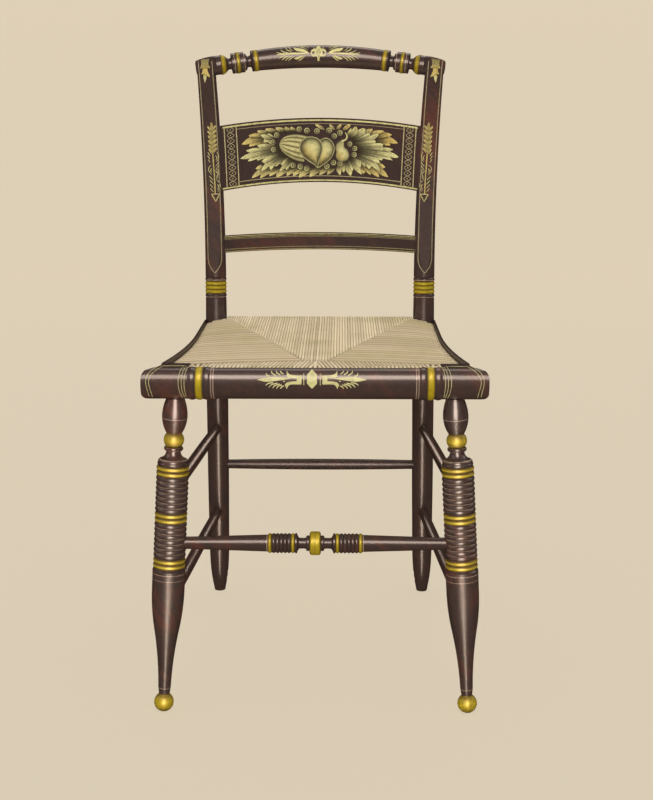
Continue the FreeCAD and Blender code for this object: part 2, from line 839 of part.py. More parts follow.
def side_strip_blank():
    """Right side strip: a thin board bent along the seat's side curve."""
    rear = post_point(list_height).y - strip_rear_setback
    outer = side_curve(0, block_back_y, rear)
    inner = side_curve(strip_thickness, block_back_y, rear)
    ends = [
        line(outer[0].Vertexes[0].Point, inner[0].Vertexes[0].Point),
        line(outer[1].Vertexes[-1].Point, inner[1].Vertexes[-1].Point),
    ]
    face = closed_face(Part.__sortEdges__(outer + inner + ends))
    face.translate(V(0, 0, seat_height - strip_height))
    return face.extrude(V(0, 0, strip_height))


# Rush seat and stuffing
def seat_plan():
    """Plan outline of the rush: out to the strips, in between the blocks and between the posts."""
    post = post_point(list_height)
    front = -roll_setback
    rear = rear_list_y + end_list_radius + rush_wrap
    rear_x = post.x - rear_leg_radius + rush_post_bite
    corner_y = block_back_y + rush_clearance
    corner_x = block_inner_x - rush_clearance
    right = side_curve(strip_thickness + rush_clearance, corner_y, post.y)
    start = right[0].Vertexes[0].Point
    end = right[1].Vertexes[-1].Point
    right.append(line(end, V(rear_x, post.y, 0)))
    right.append(line(V(rear_x, post.y, 0), V(rear_x, rear, 0)))
    right.append(line(start, V(corner_x, corner_y, 0)))
    right.append(line(V(corner_x, corner_y, 0), V(corner_x, front, 0)))
    edges = right + [mirrored(edge) for edge in right]
    edges.append(line(V(-rear_x, rear, 0), V(rear_x, rear, 0)))
    edges.append(line(V(-corner_x, front, 0), V(corner_x, front, 0)))
    return closed_face(Part.__sortEdges__(edges))


def rush_envelope():
    """Outer shape of the rush: its plan, cut by rounded side and crowned front views."""
    wrap = end_list_radius + rush_wrap
    bottom = list_height - wrap
    rear_top = rear_list_height + wrap
    rear_bottom = rear_list_height - wrap
    middle_y = (front_list_y + rear_list_y) / 2
    side = closed_face([
        arc(V(0, front_list_y, bottom), V(0, front_list_y - wrap, list_height),
            V(0, front_list_y, seat_height)),
        arc(V(0, front_list_y, seat_height), V(0, middle_y, seat_height + seat_crown),
            V(0, rear_list_y, rear_top)),
        arc(V(0, rear_list_y, rear_top), V(0, rear_list_y + wrap, rear_list_height),
            V(0, rear_list_y, rear_bottom)),
        line(V(0, rear_list_y, rear_bottom), V(0, front_list_y, bottom)),
    ])
    half = side_offset_x(0, block_back_y)
    side.translate(V(-half, 0, 0))
    front = closed_face([
        line(V(-half, 0, bottom), V(half, 0, bottom)),
        line(V(half, 0, bottom), V(half, 0, seat_height - seat_crown)),
        arc(V(half, 0, seat_height - seat_crown), V(0, 0, seat_height + seat_crown),
            V(-half, 0, seat_height - seat_crown)),
        line(V(-half, 0, seat_height - seat_crown), V(-half, 0, bottom)),
    ])
    front.translate(V(0, -wrap, 0))
    plan = seat_plan()
    plan.translate(V(0, 0, bottom - cut_overrun))
    body = plan.extrude(V(0, 0, 2 * (wrap + cut_overrun)))
    body = body.common(side.extrude(V(2 * half, 0, 0)))
    return body.common(front.extrude(V(0, seat_depth + 2 * wrap, 0)))


def stuffing(grow=0):
    """Pad of stuffing between the lists, inside the rush."""
    front_y = front_list_y + end_list_radius + stuffing_margin - grow
    rear_y = rear_list_y - end_list_radius - stuffing_margin + grow
    inset = strip_thickness + rush_wrap + 2 * list_radius + stuffing_margin
    rear_x = side_offset_line(inset) + grow
    front_x = side_offset_x(inset, front_y) + grow
    face = polygon_face([
        V(-front_x, front_y, 0), V(front_x, front_y, 0), V(rear_x, seat_flare_start, 0),
        V(rear_x, rear_y, 0), V(-rear_x, rear_y, 0), V(-rear_x, seat_flare_start, 0),
    ])
    thickness = stuffing_thickness + 2 * grow
    face.translate(V(0, 0, list_height - thickness / 2))
    return face.extrude(V(0, 0, thickness))


# Pegs and nails
def nail(shank_radius, head_radius_, head_thickness, head_top, direction, length, grow=0):
    """Nail with a flat head; grow gives the hole it is driven into."""
    top = head_top - direction * grow
    head = rod(head_radius_ + grow, top, head_top + direction * (head_thickness + grow))
    shank = rod(shank_radius + grow, head_top, head_top + direction * (length + grow))
    return head.fuse(shank)


def roll_nail_group(grow=0):
    """Nails through the roll into the front list, with their heads buried in the roll."""
    length = roll_radius - roll_nail_cover + rush_wrap + nail_bite
    nails = []
    for index in range(roll_nail_count):
        share = 2 * index / (roll_nail_count - 1) - 1
        place = 2 * roll_nail_share * block_inner_x * share
        head_top = V(place, block_front_y + roll_nail_cover, list_height)
        nails.append(nail(nail_radius, nail_head_radius, nail_head_thickness,
                          head_top, V(0, 1, 0), length, grow))
    return nails


def strip_nail_group(grow=0):
    """Small nails through the right side strip into the side list."""
    length = strip_thickness + rush_wrap + nail_bite
    nails = []
    first = block_back_y + strip_nail_front_margin
    last = post_point(list_height).y - strip_rear_setback - strip_nail_rear_margin
    for index in range(strip_nail_count):
        back = first + (last - first) * index / (strip_nail_count - 1)
        forward = max(seat_flare_start - back, 0)
        angle = math.asin(forward / seat_flare_radius)
        inward = V(-math.cos(angle), -math.sin(angle), 0)
        head_top = V(side_offset_x(0, back), back, list_height)
        nails.append(nail(strip_nail_radius, strip_nail_head_radius, strip_nail_head_thickness,
                          head_top, inward, length, grow))
    return nails


def slat_peg(middle_lift, grow=0):
    """Peg driven from the back of the right post through the end of a slat."""
    middle = post_point(seat_height + middle_lift)
    lean = math.radians(slat_lean(middle_lift))
    normal = V(0, math.cos(lean), -math.sin(lean))
    x = middle.x - (slat_tenon_stop + upper_post_radius(middle.z)) / 2
    start = V(x, middle.y, middle.z) - normal * (peg_reach + grow)
    return rod(peg_radius + grow, start, start + normal * (2 * upper_post_radius(middle.z)))


def crest_peg(grow=0):
    """Peg driven from the back of the right post's head through the crest's tenon."""
    place = crest_shoulder + crest_outward * (crest_tenon_length / 2)
    start = place - crest_back * (peg_reach + grow)
    return rod(peg_radius + grow, start, start + crest_back * (2 * head_radius))


def joined(solids):
    """Several separate solids kept in one node."""
    return Part.makeCompound(solids)


# Right-hand pieces with their joints cut
post_uncut = post_blank()
mortises = [
    crest_tenon(joint_clearance),
    main_slat(joint_clearance),
    low_slat(joint_clearance),
    rear_list(joint_clearance),
    side_list(joint_clearance),
    socket(*upper_ends, side_stretcher_end_radius),
    socket(*lower_ends, side_stretcher_end_radius),
    socket(rear_end, reflected(rear_end), rear_stretcher_end_radius),
    slat_peg(slat_middle_lift, joint_clearance),
    slat_peg(lower_slat_middle_lift, joint_clearance),
    crest_peg(joint_clearance),
]
post_right = post_uncut.cut(mortises)

leg_right = front_leg_blank().cut([
    socket(*upper_ends, side_stretcher_end_radius),
    socket(*lower_ends, side_stretcher_end_radius),
    socket(front_end, reflected(front_end), front_stretcher_end_radius),
])

block_right = corner_block_blank().cut([
    leg_tenon_hole(),
    front_list(joint_clearance),
    side_list(joint_clearance),
])

strip_right = side_strip_blank().cut([lower_post_body(rush_clearance)] + strip_nail_group(joint_clearance))
list_right = side_list().cut(strip_nail_group(joint_clearance))

both_strip_nails = strip_nail_group() + [mirrored(item) for item in strip_nail_group()]
both_strip_holes = strip_nail_group(joint_clearance)
both_strip_holes += [mirrored(item) for item in both_strip_holes]

rush_cutters = [front_list(rush_clearance), rear_list(rush_clearance), stuffing(rush_clearance)]
for right_cutter in (side_list(rush_clearance), lower_post_body(rush_clearance)):
    rush_cutters += [right_cutter, mirrored(right_cutter)]
rush = rush_envelope().cut(rush_cutters + both_strip_holes + roll_nail_group(joint_clearance))

slat_pegs = [
    slat_peg(slat_middle_lift).common(post_uncut),
    slat_peg(lower_slat_middle_lift).common(post_uncut),
]
crest_pegs = [crest_peg().common(post_uncut)]

slat_holes = [slat_peg(slat_middle_lift, joint_clearance)]
slat_holes.append(mirrored(slat_holes[0]))
low_slat_holes = [slat_peg(lower_slat_middle_lift, joint_clearance)]
low_slat_holes.append(mirrored(low_slat_holes[0]))
crest_holes = [crest_peg(joint_clearance)]
crest_holes.append(mirrored(crest_holes[0]))

upper_stretcher = plain_stretcher(*upper_ends, side_stretcher_end_radius, side_stretcher_radius)
lower_stretcher = plain_stretcher(*lower_ends, side_stretcher_end_radius, side_stretcher_radius)
back_ends = (reflected(rear_end), rear_end)
back_stretcher = plain_stretcher(*back_ends, rear_stretcher_end_radius, rear_stretcher_radius)

nodes = {
    "crest_rail": crest_rail().cut(crest_holes),
    "stenciled_slat": main_slat().cut(slat_holes),
    "lower_slat": low_slat().cut(low_slat_holes),
    "front_seat_roll": front_roll().cut(roll_nail_group(joint_clearance)),
    "front_seat_list": front_list().cut(roll_nail_group(joint_clearance)),
    "rear_seat_list": rear_list(),
    "rush_seat": rush,
    "rush_stuffing": stuffing(),
    "front_stretcher": front_stretcher(),
    "rear_stretcher": back_stretcher,
    "crest_pegs": joined(crest_pegs + [mirrored(item) for item in crest_pegs]),
    "slat_pegs": joined(slat_pegs + [mirrored(item) for item in slat_pegs]),
    "roll_nails": joined(roll_nail_group()),
    "strip_nails": joined(both_strip_nails),
}
paired = {
    "back_post": post_right,
    "front_leg": leg_right,
    "corner_block": block_right,
    "side_seat_list": list_right,
    "side_seat_strip": strip_right,
    "upper_side_stretcher": upper_stretcher,
    "lower_side_stretcher": lower_stretcher,
}
for name, shape in paired.items():
    nodes[name + "_right"] = shape
    nodes[name + "_left"] = mirrored(shape)

# The origin goes to the middle of the chair's outline on the floor
ball_height = foot_ball_radius - foot_ball_flat
ball_centre = front_leg_point(0) + toward(front_leg_point(0), front_leg_point(block_bottom)) * ball_height
front_reach = ball_centre.y - foot_ball_radius
crest_middle_y = crest_shoulder.y + crest_back.y * crest_sagitta
back_reach = crest_middle_y + barrel_radius
to_origin = V(0, -(front_reach + back_reach) / 2, 0)

os.makedirs("parts", exist_ok=True)
for name in sorted(nodes):
    shape = nodes[name]
    shape.translate(to_origin)
    print(name, "solids", len(shape.Solids), "valid", shape.isValid(), "volume", round(shape.Volume))
    shape.exportStep("parts/" + name + ".step")
print("origin shift", round(to_origin.y, 3), "feet at y", round(front_leg_point(0).y + to_origin.y, 3))
print("rear feet at", round(post_point(0).x, 3), round(post_point(0).y + to_origin.y, 3))
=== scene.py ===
import math
import bpy
import numpy as np
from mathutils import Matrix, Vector


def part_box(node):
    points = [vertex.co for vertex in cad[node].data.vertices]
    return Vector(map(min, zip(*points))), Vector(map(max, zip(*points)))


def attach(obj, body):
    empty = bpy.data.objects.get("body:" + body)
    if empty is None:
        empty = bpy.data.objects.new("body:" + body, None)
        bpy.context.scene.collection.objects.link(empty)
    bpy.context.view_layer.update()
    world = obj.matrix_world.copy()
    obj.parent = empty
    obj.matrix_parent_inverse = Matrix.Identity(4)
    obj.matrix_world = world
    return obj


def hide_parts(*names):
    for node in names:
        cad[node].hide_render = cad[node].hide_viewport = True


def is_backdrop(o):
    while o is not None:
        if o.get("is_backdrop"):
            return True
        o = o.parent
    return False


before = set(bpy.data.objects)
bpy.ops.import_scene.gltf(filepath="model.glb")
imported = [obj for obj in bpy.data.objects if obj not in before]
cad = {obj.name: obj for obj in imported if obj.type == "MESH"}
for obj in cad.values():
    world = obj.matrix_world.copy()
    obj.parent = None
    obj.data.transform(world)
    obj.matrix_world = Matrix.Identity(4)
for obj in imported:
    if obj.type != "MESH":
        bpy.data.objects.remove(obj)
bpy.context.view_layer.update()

# Rear posts: each is one maple stick, turned below, bent back above the seat and shaved flat in front.
# They are grained in red under dark brown paint, the three middle rings are gilded with bronze powder,
# and the whole is varnished. All the painted wood of the chair has this finish.
def linear(red, green, blue):
    """Scene colour of a paint seen as an sRGB colour of 0 to 255 in each channel."""
    seen = np.array([red, green, blue]) / 255
    low = seen / 12.92
    high = ((seen + 0.055) / 1.055) ** 2.4
    return tuple(float(c) for c in np.where(seen <= 0.04045, low, high)) + (1.0,)


paint_dark = linear(66, 52, 49)
paint_warm = linear(82, 57, 49)
paint_red = linear(112, 60, 47)
paint_black = linear(46, 36, 33)
gold_paint = linear(176, 154, 30)
# Dark gold: painted shade at the edges of the gold bands and in the rings' grooves, and also real wear
gold_wear_and_shade = linear(104, 84, 26)
line_paint = linear(176, 150, 130)
warm_share = 0.42
red_share = 0.55
dusk_share = 0.22
grain_turn = (0.3, 0.65, 0.2)
grain_stretch = (1.0, 1.0, 0.16)
grain_scale = 60.0
fine_scale = 7 * grain_scale
cloud_scale = 9.0
wear_scale = 160.0
varnish_roughness = 0.32
varnish_coat = 0.42
varnish_tint = (1.0, 0.86, 0.76, 1.0)
gilt_coat_loss = 0.6
gold_roughness = 0.2
gold_metal = 0.22
thin_edge = 0.0003
ring_run = ((0.158, 0.152952, 0.492), (0.0, 0.07324, 0.99731), 0.05)
ring_gold = ((0.0068, 0.0129), (0.0129, 0.0191), (0.0191, 0.0253))
ring_lines = ((0.001, 0.0022), (0.0266, 0.0278))


class Shader:
    """One node material, with short calls for the nodes that the finishes are made of."""

    def __init__(self, name):
        self.material = bpy.data.materials.new(name)
        self.material.use_nodes = True
        self.tree = self.material.node_tree
        self.tree.nodes.clear()
        self.output = self.add("ShaderNodeOutputMaterial")
        self.surface = self.add("ShaderNodeBsdfPrincipled")
        self.tree.links.new(self.surface.outputs["BSDF"], self.output.inputs["Surface"])
        self.place = self.add("ShaderNodeTexCoord").outputs["Object"]

    def add(self, kind, values=None, **settings):
        """New node with its settings, and with values or links put on its inputs."""
        node = self.tree.nodes.new(kind)
        for key, value in settings.items():
            setattr(node, key, value)
        for key, value in (values or {}).items():
            self.put(node.inputs[key], value)
        return node

    def put(self, socket, value):
        """Links another node's output to a socket, or writes a plain value on it."""
        if isinstance(value, bpy.types.NodeSocket):
            self.tree.links.new(value, socket)
        else:
            socket.default_value = value

    def finish(self, **parts):
        """Values of the surface's sockets, whose names are written with _ for a space."""
        for key, value in parts.items():
            self.put(self.surface.inputs[key.replace("_", " ")], value)

    def attribute(self, name):
        """Value painted on the mesh."""
        return self.add("ShaderNodeAttribute", attribute_name=name).outputs["Fac"]

    def math(self, operation, first, second=0.0, third=0.0, clamp=False):
        values = {0: first, 1: second, 2: third}
        return self.add("ShaderNodeMath", values, operation=operation, use_clamp=clamp).outputs[0]

    def times(self, first, second):
        """first x second."""
        return self.math("MULTIPLY", first, second)

    def vector(self, operation, first, second=(0, 0, 0)):
        node = self.add("ShaderNodeVectorMath", {0: first, 1: second}, operation=operation)
        return node.outputs["Value" if operation == "DOT_PRODUCT" else "Vector"]

    def mix(self, factor, first, second):
        """first x (1 - factor) + second x factor, for colours."""
        node = self.add("ShaderNodeMix", {0: factor, 6: first, 7: second}, data_type="RGBA")
        return node.outputs[2]

    def turned_place(self, turn, stretch):
        """Object coordinates turned, then stretched, so that noise in them runs along a grain."""
        turned = self.add("ShaderNodeMapping", {"Vector": self.place, "Rotation": turn})
        return self.vector("MULTIPLY", turned.outputs[0], stretch)

    def noise(self, place, scale, detail=2.0, roughness=0.5):
        values = {"Vector": place, "Scale": scale, "Detail": detail, "Roughness": roughness}
        return self.add("ShaderNodeTexNoise", values).outputs["Fac"]

    def ramp(self, factor, stops):
        """Number read from a list of (position, value)."""
        node = self.add("ShaderNodeValToRGB", {0: factor})
        points = node.color_ramp.elements
        while len(points) < len(stops):
            points.new(1.0)
        for point, (position, value) in zip(points, stops):
            point.position = position
            point.color = (value, value, value, 1.0)
        return node.outputs[0]

    def bands(self, distance, reach, bands, edge):
        """1 inside each (start, end) of a distance, 0 outside, with soft edges of a given width."""
        stops = [(0.0, 0.0)]
        for start, end in sorted(bands):
            for place, value in ((start, 0.0), (start + edge, 1.0), (end - edge, 1.0), (end, 0.0)):
                stops.append((place / reach, value))
        return self.ramp(self.math("DIVIDE", distance, reach), stops)

    def bump(self, height, depth, strength):
        """Small relief of the surface, from a height that is 0 to 1 and its full depth in metres."""
        node = self.add("ShaderNodeBump", {"Height": height, "Distance": depth, "Strength": strength})
        self.put(self.surface.inputs["Normal"], node.outputs[0])


def painted(name, gold=(), lines=(), redness=1.0, shine=1.0, coat_roughness=0.16):
    """Grained paint: dark brown, with warm and red streaks of noise drawn out along a grain, and each
    later colour mixed in by its mask. gold is (band, core) pairs of functions of the shader: the band is
    painted, and its gold darkens outside its core as painted shade, and is dimmed at random by wear.
    lines are functions that give masks."""
    shader = Shader(name)
    along = shader.turned_place(grain_turn, grain_stretch)
    streak = shader.noise(along, grain_scale, 3.0, 0.6)
    fine = shader.noise(along, fine_scale, 2.0, 0.5)
    cloud = shader.noise(shader.place, cloud_scale, 2.0, 0.5)
    warm = shader.ramp(streak, [(0.42, 0.0), (0.7, 1.0)])
    red = shader.ramp(shader.times(streak, cloud), [(0.27, 0.0), (0.42, 1.0)])
    dusk = shader.ramp(fine, [(0.35, 1.0), (0.6, 0.0)])
    colour = shader.mix(shader.times(warm, warm_share * redness), paint_dark, paint_warm)
    colour = shader.mix(shader.times(red, red_share * redness), colour, paint_red)
    colour = shader.mix(shader.times(dusk, dusk_share), colour, paint_black)
    worn = shader.noise(shader.place, wear_scale, 3.0, 0.6)
    gilt = 0.0
    for band_of, core_of in gold:
        band = band_of(shader)
        # The gold turns to its dark colour outside its core, as painted shade at the band's edges and in the
        # grooves, and it also dims where the wear noise is low
        bright = shader.times(core_of(shader), shader.ramp(worn, [(0.25, 0.6), (0.6, 1.0)]))
        colour = shader.mix(band, colour, shader.mix(bright, gold_wear_and_shade, gold_paint))
        gilt = shader.math("ADD", gilt, band, clamp=True)
    for mask_of in lines:
        mask = shader.times(mask_of(shader), shader.ramp(worn, [(0.25, 0.55), (0.5, 0.95)]))
        colour = shader.mix(mask, colour, line_paint)
    rough = shader.math("MULTIPLY_ADD", fine, 0.14, varnish_roughness - 0.05)
    coat = varnish_coat * shine
    shader.finish(
        Base_Color=colour, Roughness=shader.math("MULTIPLY_ADD", gilt, gold_roughness, rough),
        Metallic=shader.times(gilt, gold_metal), Specular_IOR_Level=0.3 * shine, Specular_Tint=varnish_tint,
        Coat_Weight=shader.math("MULTIPLY_ADD", gilt, -gilt_coat_loss * coat, coat),
        Coat_Roughness=coat_roughness)
    shader.bump(shader.math("ADD", shader.times(fine, 0.5), worn), 0.0002, 0.35)
    return shader.material


def distance_along(shader, origin, direction):
    """Distance from an origin along a direction, as (|x|, y, z) minus the origin, dotted with the
    direction, so that it is the same on both sides of the chair."""
    parts = shader.add("ShaderNodeSeparateXYZ", {0: shader.place})
    out = shader.math("ABSOLUTE", parts.outputs[0])
    place = shader.add("ShaderNodeCombineXYZ", {0: out, 1: parts.outputs[1], 2: parts.outputs[2]})
    moved = shader.vector("SUBTRACT", place.outputs[0], tuple(origin))
    return shader.vector("DOT_PRODUCT", moved, tuple(direction))


def banded(origin, direction, reach, bands, edge=0.0004):
    """Mask that is 1 where the distance along an axis lies in one of the painted bands."""
    return lambda shader: shader.bands(distance_along(shader, origin, direction), reach, bands, edge)


def gilded(origin, direction, reach, bands, shaded_edge=0.0022):
    """Gold bands along an axis, with painted shade that darkens both edges of each."""
    return banded(origin, direction, reach, bands), banded(origin, direction, reach, bands, shaded_edge)


def ringed(name, run, gold, lines, shaded_edge=0.0022, **looks):
    """Paint with gold bands and thin lines along a run, which is its origin, direction and reach."""
    return painted(name, [gilded(*run, gold, shaded_edge)], [banded(*run, lines, thin_edge)], **looks)


def finish_node(names, material):
    """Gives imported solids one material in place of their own."""
    for name in names:
        cad[name].data.materials.clear()
        cad[name].data.materials.append(material)


post_paint = ringed("post_paint", ring_run, ring_gold, ring_lines, 0.0018, shine=0.8)
finish_node(("back_post_left", "back_post_right"), post_paint)

# Front legs: turned maple, tenoned up into the corner blocks. The ball at the neck, the foot ball and
# three groups of the stacked rings are gilded, and thin pale lines lie in the grooves of the others.
leg_foot = (0.2008, -0.233348, 0.0)
leg_axis = (-0.05659, 0.05468, 0.99691)
leg_reach = 0.43
leg_balls = ((0.3571, 0.375), (0.0005, 0.0253))
leg_line_groups = ((0.02, 0.02, ((0.012, 0.0129),)), (0.175, 0.02, ((0.0074, 0.0082), (0.0152, 0.0161))),
                   (0.335, 0.07, ((0.0055, 0.0065), (0.0171, 0.018), (0.0585, 0.0594))))
leg_rings_start = 0.19
leg_rings_reach = 0.15
leg_ring_gold = ((0.0072, 0.0211), (0.0683, 0.0821), (0.1294, 0.1432))
leg_groove_start = 0.1975
leg_groove_pitch = 0.006785
leg_grooved = ((0.0211, 0.0683), (0.0821, 0.1294))


def leg_bands(start, reach, bands, edge=0.0004):
    """Painted bands of the front legs, each measured from a start above the foot."""
    origin = [foot + start * way for foot, way in zip(leg_foot, leg_axis)]
    return banded(origin, leg_axis, reach, bands, edge)


def from_groove(shader):
    """Distance from the nearest groove between the legs' rings, as a share of half a ring."""
    along = shader.math("SUBTRACT", distance_along(shader, leg_foot, leg_axis), leg_groove_start)
    return shader.math("MULTIPLY", shader.math("PINGPONG", along, leg_groove_pitch / 2), 2 / leg_groove_pitch)


def on_ring_crowns(shader):
    """1 on the crowns of the legs' rings, 0 in the grooves between them; as the gold's core it puts painted
    shade into the grooves.
    """
    return shader.ramp(from_groove(shader), [(0.4, 0.0), (0.85, 1.0)])


def in_grooves(shader):
    """Mask of the thin lines in the grooves between the legs' rings: near a groove, and on a grooved run."""
    narrow = shader.ramp(from_groove(shader), [(0.06, 1.0), (0.16, 0.0)])
    return shader.times(narrow, leg_bands(leg_rings_start, leg_rings_reach, leg_grooved)(shader))


# The gilded rings are painted darker in their grooves, and the gilded balls darker towards their ends, as
# painted shade
leg_rings = (leg_bands(leg_rings_start, leg_rings_reach, leg_ring_gold), on_ring_crowns)
leg_lines = [leg_bands(*group, 0.0002) for group in leg_line_groups]
leg_paint = painted("leg_paint", [gilded(leg_foot, leg_axis, leg_reach, leg_balls, 0.0092), leg_rings],
                    leg_lines + [in_grooves], coat_roughness=0.19)
finish_node(("front_leg_left", "front_leg_right"), leg_paint)

# Stretchers: turned maple rungs, driven into blind holes in the legs and posts. The front one has a
# gilded ball and ring groups; the others are plain, thin at the ends, and duller from feet and dust.
across = (1.0, 0.0, 0.0)
centre = (0.0, 0.0, 0.0)
stretcher_gold = ((-0.004, 0.0073), (0.0261, 0.0312), (0.0558, 0.061))
stretcher_lines = ((0.0614, 0.0625),)
stretcher_paint = ringed("stretcher_paint", (centre, across, 0.08), stretcher_gold, stretcher_lines)
rail_paint = painted("rail_paint", shine=0.5, coat_roughness=0.36)
finish_node(("front_stretcher",), stretcher_paint)
finish_node(("rear_stretcher", "upper_side_stretcher_left", "upper_side_stretcher_right",
             "lower_side_stretcher_left", "lower_side_stretcher_right"), rail_paint)

# Crest rail: one turned piece with a barrel at its middle, held by a tenon and a peg in each post. Two
# rings and the beads on each side of the barrel are gilded. The bands run along its slanted half.
crest_run = ((0.0938, 0.22177, 0.84344), (0.98096, -0.15209, -0.12078), 0.09)
crest_gold = ((0.0008, 0.0078), (0.0284, 0.0342), (0.0494, 0.0574))
crest_lines = ((0.0216, 0.0226), (0.0364, 0.0374))
crest_paint = ringed("crest_paint", crest_run, crest_gold, crest_lines, 0.0036)
finish_node(("crest_rail",), crest_paint)

# Slats and side strips: thin boards steamed and bent, let into mortises in the posts or nailed round
# the rush. Their paint is smoother and darker than that of the turned wood.
slat_paint = painted("slat_paint", redness=0.25, shine=0.5)
low_slat_paint = painted("low_slat_paint", redness=0.6, shine=0.8)
finish_node(("stenciled_slat", "side_seat_strip_left", "side_seat_strip_right"), slat_paint)
finish_node(("lower_slat",), low_slat_paint)

# Seat roll and corner blocks: a half-round moulding nailed over the front list, with three beads at each
# end of which one is gilded, between two blocks that take the tenons of the front legs.
bead_gold = ((0.1405, 0.1501),)
bead_lines = ((0.1294, 0.1304), (0.1265, 0.1276))
roll_paint = ringed("roll_paint", (centre, across, 0.17), bead_gold, bead_lines, redness=0.8)
block_paint = painted("block_paint", redness=0.6, shine=0.8)
finish_node(("front_seat_roll",), roll_paint)
finish_node(("corner_block_left", "corner_block_right"), block_paint)

# Seat lists, pegs and nails: bare maple split along its grain and dulled by age, and cut nails of iron.
# The lists carry the rush; the pegs hold crest and slats, and the nails hold the roll and the strips.
wood_pale = linear(196, 164, 120)
wood_ring = linear(158, 120, 78)
wood_dust = linear(112, 88, 62)
iron_grey = linear(86, 82, 78)
iron_rust = linear(96, 62, 44)


def bare_maple(name, stretch):
    """Rings are noise drawn out along the grain; dust gathers in broad soft clouds."""
    shader = Shader(name)
    ring = shader.noise(shader.vector("MULTIPLY", shader.place, stretch), 90.0, 4.0, 0.6)
    cloud = shader.noise(shader.place, 22.0, 3.0, 0.6)
    colour = shader.mix(shader.ramp(ring, [(0.4, 0.0), (0.62, 0.8)]), wood_pale, wood_ring)
    colour = shader.mix(shader.ramp(cloud, [(0.45, 0.0), (0.7, 0.6)]), colour, wood_dust)
    shader.finish(Base_Color=colour, Roughness=shader.math("MULTIPLY_ADD", ring, 0.2, 0.55),
                  Specular_IOR_Level=0.3)
    shader.bump(ring, 0.0003, 0.5)
    return shader.material


def nail_iron(name):
    """Grey iron with rust in its pits, which are fine noise."""
    shader = Shader(name)
    pits = shader.noise(shader.place, 700.0, 3.0, 0.6)
    colour = shader.mix(shader.ramp(pits, [(0.4, 0.0), (0.65, 0.8)]), iron_grey, iron_rust)
    shader.finish(Base_Color=colour, Roughness=shader.math("MULTIPLY_ADD", pits, 0.3, 0.35), Metallic=0.85)
    shader.bump(pits, 0.0002, 0.5)
    return shader.material


finish_node(("front_seat_list", "rear_seat_list", "crest_pegs", "slat_pegs"),
            bare_maple("maple_across", (0.1, 1.0, 1.0)))
finish_node(("side_seat_list_left", "side_seat_list_right"), bare_maple("maple_along", (1.0, 0.1, 1.0)))
finish_node(("roll_nails", "strip_nails"), nail_iron("nail_iron"))

# Camera at the photograph's place. It comes before the ornament, which is drawn on its picture plane.
camera_place = (0.034, -1.839848, 0.7957)
camera_pitch = 0.2286
camera_yaw = 0.0120
camera_focal_px = 1320.6
photo_height_px = 800
photo_middle_px = (326.5, 400.0)


def placed(name, data):
    """New object, linked to the scene."""
    item = bpy.data.objects.new(name, data)
    bpy.context.scene.collection.objects.link(item)
    return item


camera = placed("camera", bpy.data.cameras.new("camera"))
camera.data.sensor_width = 36
camera.data.lens = camera_focal_px * camera.data.sensor_width / photo_height_px
camera.location = camera_place
camera.rotation_euler = (math.pi / 2 - camera_pitch, 0, camera_yaw)
bpy.context.scene.camera = camera

# Fruit on the wide slat: melon, two peaches and a pear among berries, on leaves that fan out to both
# sides. It is bronze powder rubbed through stencils on tacky varnish, and lies a fraction of a
# millimetre above the paint.
stencil_pale = linear(224, 216, 152)
stencil_olive = linear(52, 43, 32)
stencil_orange = linear(214, 180, 90)
stencil_rose = linear(178, 154, 134)
sheet_jump = 0.02
stencil_lift = 0.00012
stencil_step = 0.000007
stencil_steps = 24
stencil_rows_at_once = 8
leaf_tooth_lean = 0.45
fan_steps = 8
fan_bow = 0.07
fan_shadow = 0.8
shadow_tone = 0.08
# Shapes in pixels of the photograph. A fan is its base line, its warmth, and its notches and tips in
# turn; a blade is its base, tip, half width and warmth; a berry is its place and radius.
back_fans = ((((268, 136), (270, 143)), 0.6, ((259, 133.4), (248.8, 135.2), (249.8, 137.6), (241.6, 144.5),
    (250.4, 143.4), (249.0, 146.5), (257.6, 144.2), (260.0, 146.2), (264.0, 144.4))), (((266, 134.5), (298,
    131.5)), 0.35, ((259.4, 133.6), (257.0, 130.8), (265.2, 130.8), (266.0, 128.5), (275.6, 129.6), (276.0,
    127.3), (284.8, 128.8), (285.2, 126.7), (290.4, 129.0), (291.0, 126.6), (296.0, 129.6))), (((266, 166),
    (336, 167)), 0.35, ((261.0, 164.6), (255.4, 168.8), (259.0, 169.4), (251.6, 178.2), (262.4, 172.8),
    (260.2, 178.2), (270.0, 172.2), (269.4, 176.4), (277.4, 171.6), (276.3, 177.6), (287.4, 171.2), (286.8,
    176.2), (293.6, 171.0), (293.0, 176.6), (300.8, 171.0), (299.0, 177.8), (310.6, 170.8), (309.8, 177.0),
    (320.4, 170.6), (319.4, 175.2), (328.2, 169.8), (327.4, 174.8), (335.0, 169.0))), (((372, 135), (374,
    145)), 0.75, ((378.6, 133.2), (383.0, 130.6), (384.6, 132.6), (391.8, 134.6), (389.0, 136.8), (397.9,
    143.2), (388.6, 142.8), (390.4, 145.4), (381.6, 144.2))), (((357, 136), (372, 138)), 0.5, ((354.0, 131.4),
    (356.0, 126.2), (357.6, 130.2), (364.4, 128.1), (364.0, 130.6), (372.8, 128.9), (371.8, 131.6), (382.6,
    130.6), (377.6, 134.4))), (((376, 160), (352, 164)), 0.6, ((379.4, 162.4), (385.4, 167.4), (381.6, 168.4),
    (388.2, 177.2), (377.6, 172.4), (379.0, 177.2), (370.0, 171.8), (370.6, 175.0), (365.6, 170.8), (363.6,
    173.8), (359.4, 169.2))))
